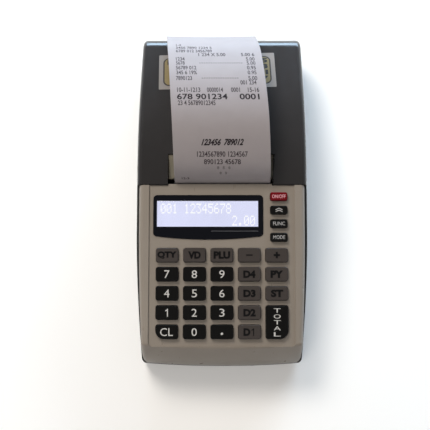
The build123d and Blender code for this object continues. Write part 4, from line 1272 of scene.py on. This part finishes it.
@dataclass
class Receipt:
    """The printed strip that arches out of the slot and back over the cover."""

    cover_edge: float = -0.7 * MM
    width: float = 58 * MM
    thickness: float = 0.08 * MM
    columns: int = 146
    rows: int = 150
    tooth_pitch: float = 1.6 * MM
    tooth: float = 0.4 * MM
    edge_curl: float = 0.5 * MM
    curl_start: float = 0.6
    slot_along: float = 11.5 * MM
    ink_thickness: float = 0.012 * MM
    ink_lift: float = 0.004 * MM
    letter_gap: float = 0.3 * MM
    dash_height: float = 0.14
    cut_step: float = 0.6 * MM
    samples: int = 600
    # Distance behind the cover's front edge, height, and sideways drift of the strip's middle.
    stations: tuple[Triple, ...] = (
        (5.92, 35.85, 0.3),
        (1.88, 47.57, 0.4),
        (6.4, 55.7, 0.3),
        (17.3, 62.6, 0.0),
        (34.4, 68.1, -0.8),
        (51.7, 68.5, -1.95),
        (65.0, 66.0, -3.0),
        (76.0, 62.0, -3.95),
        (86.0, 56.9, -4.95),
        (94.5, 49.3, -5.85),
        (105.0, 37.2, -7.2),
    )

    def __post_init__(self) -> None:
        """Works out the smooth line that the strip's middle follows."""
        points = np.array([(d, self.cover_edge / MM + y, z) for y, z, d in self.stations]) * MM
        chords = np.linalg.norm(np.diff(points, axis=0), axis=1)
        knots = np.concatenate([[0.0], np.cumsum(chords)])
        fine = np.linspace(0, knots[-1], self.samples)
        line = np.stack([natural_spline(knots, points[:, i], fine) for i in range(3)], axis=1)
        steps = np.linalg.norm(np.diff(line[:, 1:], axis=0), axis=1)
        self.distance = np.concatenate([[0.0], np.cumsum(steps)])
        self.line = line
        self.length = float(self.distance[-1])

    def middle(self, along: float) -> np.ndarray:
        """Gives the strip's middle at a distance from its start."""
        return np.array([np.interp(along, self.distance, self.line[:, i]) for i in range(3)])

    def point(self, x: float, along: float, lift: float) -> Vector:
        """Gives a place on the strip.

        Args:
            x: how far right of the strip's middle.
            along: how far along the strip from its start.
            lift: how far above its middle surface, on the printed side.

        Returns:
            The place.
        """
        middle = self.middle(along)
        step = self.length / self.samples
        run = self.middle(along + step) - self.middle(along - step)
        out = Vector((0, -run[2], run[1])).normalized()
        free = (along / self.length - self.curl_start) / (1 - self.curl_start)
        free = min(1.0, max(0.0, free))
        curl = self.edge_curl * (2 * x / self.width) ** 2 * free * free
        return Vector((middle[0] + x, middle[1], middle[2])) + out * (lift + curl)

    def sheet(self) -> bpy.types.Object:
        """Makes the strip of paper, torn off at its far end."""
        vertices = []
        for row in range(self.rows + 1):
            for column in range(self.columns + 1):
                x = self.width * (column / self.columns - 0.5)
                along = self.length * row / self.rows
                if row == self.rows:
                    phase = (x / self.tooth_pitch) % 1.0
                    along -= self.tooth * abs(2 * phase - 1)
                vertices.append(self.point(x, along, 0.0))
        span = self.columns + 1
        faces = [
            (r * span + c, r * span + c + 1, (r + 1) * span + c + 1, (r + 1) * span + c)
            for r in range(self.rows)
            for c in range(self.columns)
        ]
        source = piece_from("receipt_source", vertices, faces, Finish.RECEIPT)
        solid = source.modifiers.new("paper", "SOLIDIFY")
        solid.thickness = self.thickness
        solid.offset = 0.0
        paper = baked(source, "receipt")
        for polygon in paper.data.polygons:
            polygon.use_smooth = True
        return paper

    def wrap(self, mesh: bpy.types.Mesh) -> None:
        """Bends a flat drawing onto the strip's printed side.

        Args:
            mesh: the drawing, with X across the strip, Y along it and Z off it.
        """
        shape = bmesh.new()
        shape.from_mesh(mesh)
        low = min(v.co.y for v in shape.verts)
        high = max(v.co.y for v in shape.verts)
        for step in range(1, int((high - low) / self.cut_step) + 1):
            everything = shape.verts[:] + shape.edges[:] + shape.faces[:]
            bmesh.ops.bisect_plane(
                shape, geom=everything, plane_co=(0, low + step * self.cut_step, 0), plane_no=(0, 1, 0)
            )
        for vertex in shape.verts:
            lift = self.thickness / 2 + self.ink_lift + vertex.co.z
            vertex.co = self.point(vertex.co.x, vertex.co.y, lift)
        shape.to_mesh(mesh)
        shape.free()

    def printed(self, rows: tuple[PrintedRow, ...], name: str, finish: Finish) -> bpy.types.Object:
        """Prints rows on the strip.

        Args:
            rows: what is printed, and where.
            name: the piece's name.
            finish: the ink.

        Returns:
            The print as one piece.
        """
        meshes = []
        for row in rows:
            for text, left in row.words:
                width = len(text) * row.character - self.letter_gap
                height = row.height * (self.dash_height if set(text) == {"."} else 1.0)
                mesh = lettering(text, height, width, self.ink_thickness, row.weight, row.slant)
                along = self.slot_along + row.along * MM
                mesh.transform(Matrix.Translation((left * MM + width / 2, along, 0)))
                self.wrap(mesh)
                meshes.append(mesh)
        return joined(name, meshes, finish)

    def build(self, register: Register) -> None:
        """Makes the receipt and its print.

        Args:
            register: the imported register.
        """
        body = register.body["receipt_strip"]
        paper = self.sheet()
        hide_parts("receipt_strip")
        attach(paper, body)
        light = self.printed(LIGHT_ROWS, "receipt_print", Finish.RECEIPT_INK)
        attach(light, body)
        bold = self.printed(BOLD_ROWS, "receipt_bold_print", Finish.RECEIPT_BOLD)
        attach(bold, body)
        LOG.info("receipt of %.0f by %.0f mm", self.width / MM, self.length / MM)


def natural_spline(knots: np.ndarray, values: np.ndarray, places: np.ndarray) -> np.ndarray:
    """Runs a natural cubic spline through values.

    Args:
        knots: where the values are.
        values: the values.
        places: where the spline is wanted.

    Returns:
        The spline's value at each place.
    """
    count = len(knots)
    step = np.diff(knots)
    system = np.eye(count)
    right = np.zeros(count)
    for i in range(1, count - 1):
        system[i, i - 1 : i + 2] = step[i - 1], 2 * (step[i - 1] + step[i]), step[i]
        right[i] = 6 * ((values[i + 1] - values[i]) / step[i] - (values[i] - values[i - 1]) / step[i - 1])
    bend = np.linalg.solve(system, right)
    span = np.clip(np.searchsorted(knots, places) - 1, 0, count - 2)
    h = step[span]
    a = (knots[span + 1] - places) / h
    b = 1 - a
    cubic = ((a**3 - a) * bend[span] + (b**3 - b) * bend[span + 1]) * h**2 / 6
    return a * values[span] + b * values[span + 1] + cubic


# ---------------------------------------------------------------- label
@dataclass
class CoverLabel:
    """The white sticker on the cover, with a yellow field in a dark rounded frame."""

    centre_x: float = -3.0 * MM
    centre_y: float = 77.2 * MM
    turn: float = math.radians(1.7)
    width: float = 74.5 * MM
    depth: float = 27.2 * MM
    corner: float = 0.6 * MM
    field_width: float = 69.1 * MM
    field_depth: float = 22.2 * MM
    field_corner: float = 4.0 * MM
    print_right: float = 32.6 * MM
    print_top: float = 7.6 * MM
    print_pitch: float = 4.75 * MM
    print_height: float = 4.0 * MM
    print_character: float = 4.3 * MM
    print_weight: float = 0.05
    print_rows: tuple[str, ...] = ("123456789012345", "67890123", "45678901", "234567")
    frame_width: float = 0.9 * MM
    paper: float = 0.08 * MM
    ink: float = 0.02 * MM
    rows: int = 48
    columns: int = 60
    lift: float = 0.01 * MM
    drop_from: float = 0.2

    def patch(
        self, name: str, half: Vector, corner: float, low: float, high: float, finish: Finish
    ) -> bpy.types.Object:
        """Lays a rounded rectangle on the cover.

        Args:
            name: the piece's name.
            half: half its width and depth.
            corner: its corner radius.
            low: how far above the cover its underside is.
            high: how far above the cover its upper side is.
            finish: its finish.

        Returns:
            The piece, as a closed thin solid.
        """
        levels = []
        for lift in (high, low):
            grid = []
            for row in range(self.rows + 1):
                v = half.y * math.sin(math.pi * (row / self.rows - 0.5))
                near = max(0.0, abs(v) - (half.y - corner))
                reach = half.x - corner + math.sqrt(max(0.0, corner**2 - near**2))
                for column in range(self.columns + 1):
                    u = reach * (2 * column / self.columns - 1)
                    grid.append(self.on_cover(u, v, lift))
            levels.append(grid)
        return closed_grid(name, levels[0], levels[1], self.columns + 1, finish)

    def printed(self, lift: float) -> bpy.types.Object:
        """Prints the field's rows of numbers, which all end at its right.

        Args:
            lift: how far above the cover the print's underside is.

        Returns:
            The print as one piece.
        """
        meshes = []
        for row, text in enumerate(self.print_rows):
            width = len(text) * self.print_character
            mesh = lettering(text, self.print_height, width, self.ink, self.print_weight)
            across, along = self.print_right - width / 2, self.print_top - row * self.print_pitch
            for vertex in mesh.vertices:
                x, y, z = vertex.co
                vertex.co = self.on_cover(x + across, y + along, lift + z)
            meshes.append(mesh)
        return joined("label_print", meshes, Finish.LABEL_PRINT)

    def on_cover(self, u: float, v: float, lift: float) -> Vector:
        """Drops a place of the label on the cover's outer side.

        Args:
            u: how far right of the label's middle.
            v: how far behind it.
            lift: how far off the surface.

        Returns:
            The place.
        """
        flat = Matrix.Rotation(self.turn, 2) @ Vector((u, v))
        x, y = flat.x + self.centre_x, flat.y + self.centre_y
        place, normal, _, _ = self.surface.ray_cast(Vector((x, y, self.drop_from)), Vector((0, 0, -1)))
        if place is None:
            raise ValueError(f"the label reaches past the cover at {x:.4f}, {y:.4f}")
        return place + normal * (lift + self.lift)

    def build(self, register: Register) -> None:
        """Makes the label's sheet, frame, field and print.

        Args:
            register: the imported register.
        """
        cover = register.nodes["printer_cover"].data
        points = [v.co.copy() for v in cover.vertices]
        self.surface = BVHTree.FromPolygons(points, [tuple(p.vertices) for p in cover.polygons])
        sheet = Vector((self.width, self.depth)) / 2
        field_half = Vector((self.field_width, self.field_depth)) / 2
        inner = field_half - Vector((self.frame_width, self.frame_width))
        corner = self.field_corner - self.frame_width
        # The frame and the field reach halfway into the paper, and each layer stands above the last.
        sunk, line, field = self.paper / 2, self.paper + self.ink, self.paper + 2 * self.ink
        layers = [
            self.patch("label_sheet", sheet, self.corner, 0.0, self.paper, Finish.LABEL_WHITE),
            self.patch("label_frame", field_half, self.field_corner, sunk, line, Finish.LABEL_LINE),
            self.patch("label_field", inner, corner, sunk, field, Finish.LABEL_YELLOW),
            self.printed(field),
        ]
        for layer in layers:
            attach(layer, register.body["printer_cover"])
        LOG.info("label of %.1f by %.1f mm", self.width / MM, self.depth / MM)


# ---------------------------------------------------------------- surroundings
@dataclass(frozen=True)
class Softbox:
    """A flat lamp that faces the register."""

    name: str
    place: Triple
    width: float
    height: float
    power: float
    colour: Colour
    mirrored: bool = True

    def build(self) -> None:
        """Hangs the lamp, which gloss may or may not mirror."""
        lamp = bpy.data.lights.new(self.name, "AREA")
        lamp.shape = "RECTANGLE"
        lamp.size, lamp.size_y = self.width, self.height
        lamp.energy = self.power
        lamp.color = self.colour
        holder = placed(self.name, lamp)
        holder.location = self.place
        holder.rotation_euler = (-Vector(self.place)).to_track_quat("-Z", "Y").to_euler()
        holder.visible_glossy = self.mirrored


@dataclass
class Studio:
    """The pale floor, the lamps, the sky dome and the camera."""

    floor_half: float = 3.0
    floor_colour: Colour = (0.885, 0.875, 0.86)
    floor_bounce: Colour = (0.4, 0.4, 0.4)
    floor_lift: float = 0.12
    floor_fade: tuple[float, float] = (0.35, 1.2)
    front_share: float = 0.35
    front_to_rear: tuple[float, float] = (-0.5, 0.3)
    dome_stops: tuple[tuple[float, Colour], ...] = (
        (0.0, (1.0, 1.0, 1.0)),
        (0.2, (0.92, 0.96, 1.0)),
        (0.42, (0.25, 0.25, 0.26)),
        (1.0, (0.12, 0.12, 0.12)),
    )
    camera_place: Triple = (0.0, -0.1357, 0.4808)
    camera_elevation: float = math.radians(75)
    picture_pixels: int = 430
    focal_pixels: float = 746.0
    sensor: float = 36.0
    middle_offset_pixels: float = 6.9
    lamps: tuple[Softbox, ...] = (
        Softbox("rear_window", (0.1, 1.1, 0.22), 0.85, 0.36, 13.0, (0.56, 0.78, 1.0)),
        Softbox("right_sky", (0.62, 0.98, 0.38), 0.6, 0.4, 9.0, (0.7, 0.85, 1.0), mirrored=False),
        Softbox("rear_softbox", (-0.42, 0.66, 0.86), 0.5, 0.4, 9.5, (1.0, 0.95, 0.88), mirrored=False),
        Softbox("top_softbox", (-0.3, -0.45, 1.05), 0.6, 0.5, 4.2, (1.0, 0.95, 0.89), mirrored=False),
    )

    def build(self) -> None:
        """Makes the surroundings."""
        self.build_floor()
        self.build_world()
        for lamp in self.lamps:
            lamp.build()
        self.build_camera()
        bpy.context.scene.view_settings.view_transform = "Standard"

    def build_floor(self) -> None:
        """Lays the floor, which fades to white away from the register and throws little light back."""
        half = self.floor_half
        corners = [(-half, -half, 0), (half, -half, 0), (half, half, 0), (-half, half, 0)]
        mesh = bpy.data.meshes.new("floor")
        mesh.from_pydata(corners, [], [(0, 1, 2, 3)])
        floor = placed("floor", mesh)
        graph = Graph("floor")
        graph.constant(Roughness=0.9, Specular_IOR_Level=0.1, Emission_Color=(1, 1, 1, 1))
        shown = graph.shown()
        distance = graph.add("ShaderNodeVectorMath", operation="LENGTH")
        graph.link(graph.coordinates, "Object", distance, "Vector")
        near, far = self.floor_fade
        fade = graph.add("ShaderNodeMapRange", {"From Min": near, "From Max": far, "To Min": self.floor_lift})
        graph.link(distance, "Value", fade, "Value")
        lift = graph.add("ShaderNodeMath", operation="MULTIPLY")
        graph.link(fade, "Result", lift, 0)
        graph.link(shown, "Value", lift, 1)
        graph.link(lift, "Value", graph.surface, "Emission Strength")
        paints = {"Color1": (*self.floor_bounce, 1), "Color2": (*self.floor_colour, 1)}
        paint = graph.add("ShaderNodeMixRGB", paints)
        graph.link(shown, "Value", paint, "Fac")
        graph.link(paint, "Color", graph.surface, "Base Color")
        floor.data.materials.append(graph.material)

    def build_world(self) -> None:
        """Paints a dome that is pale at the horizon, dim overhead and gives less light from the front."""
        world = bpy.data.worlds.new("studio")
        bpy.context.scene.world = world
        world.use_nodes = True
        sky = NodeTree(world.node_tree)
        back = sky.add("ShaderNodeBackground")
        split = sky.add("ShaderNodeSeparateXYZ")
        ramp = sky.add("ShaderNodeValToRGB")
        stops = ramp.color_ramp.elements
        for place, _ in self.dome_stops[1:-1]:
            stops.new(place)
        for stop, (_, colour) in zip(stops, self.dome_stops):
            stop.color = (*colour, 1)
        sky.link(sky.add("ShaderNodeTexCoord"), "Generated", split, "Vector")
        sky.link(split, "Z", ramp, "Fac")
        sky.link(ramp, "Color", back, "Color")
        low, high = self.front_to_rear
        front = sky.add("ShaderNodeMapRange", {"From Min": low, "From Max": high, "To Min": self.front_share})
        sky.link(split, "Y", front, "Value")
        strength = sky.add("ShaderNodeMath", operation="MAXIMUM")
        sky.link(front, "Result", strength, 0)
        sky.link(sky.shown(), "Value", strength, 1)
        sky.link(strength, "Value", back, "Strength")
        sky.link(back, "Background", sky.add("ShaderNodeOutputWorld"), "Surface")

    def build_camera(self) -> None:
        """Sets the camera where it frames the whole register from above its front."""
        camera = bpy.data.cameras.new("camera")
        camera.sensor_width = self.sensor
        camera.lens = self.focal_pixels / self.picture_pixels * self.sensor
        camera.shift_x = -self.middle_offset_pixels / self.picture_pixels
        holder = placed("camera", camera)
        holder.location = self.camera_place
        holder.rotation_euler = (math.pi / 2 - self.camera_elevation, 0, 0)
        bpy.context.scene.camera = holder


def main() -> None:
    """Builds the register's looks piece by piece."""
    logging.basicConfig(level=logging.INFO, format="%(name)s: %(message)s")
    register = Register.load()
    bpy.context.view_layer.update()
    register.dress_nodes()
    Studio().build()
    Keyboard().build(register)
    Display().build(register)
    Receipt().build(register)
    CoverLabel().build(register)


if __name__ == "__main__":
    main()
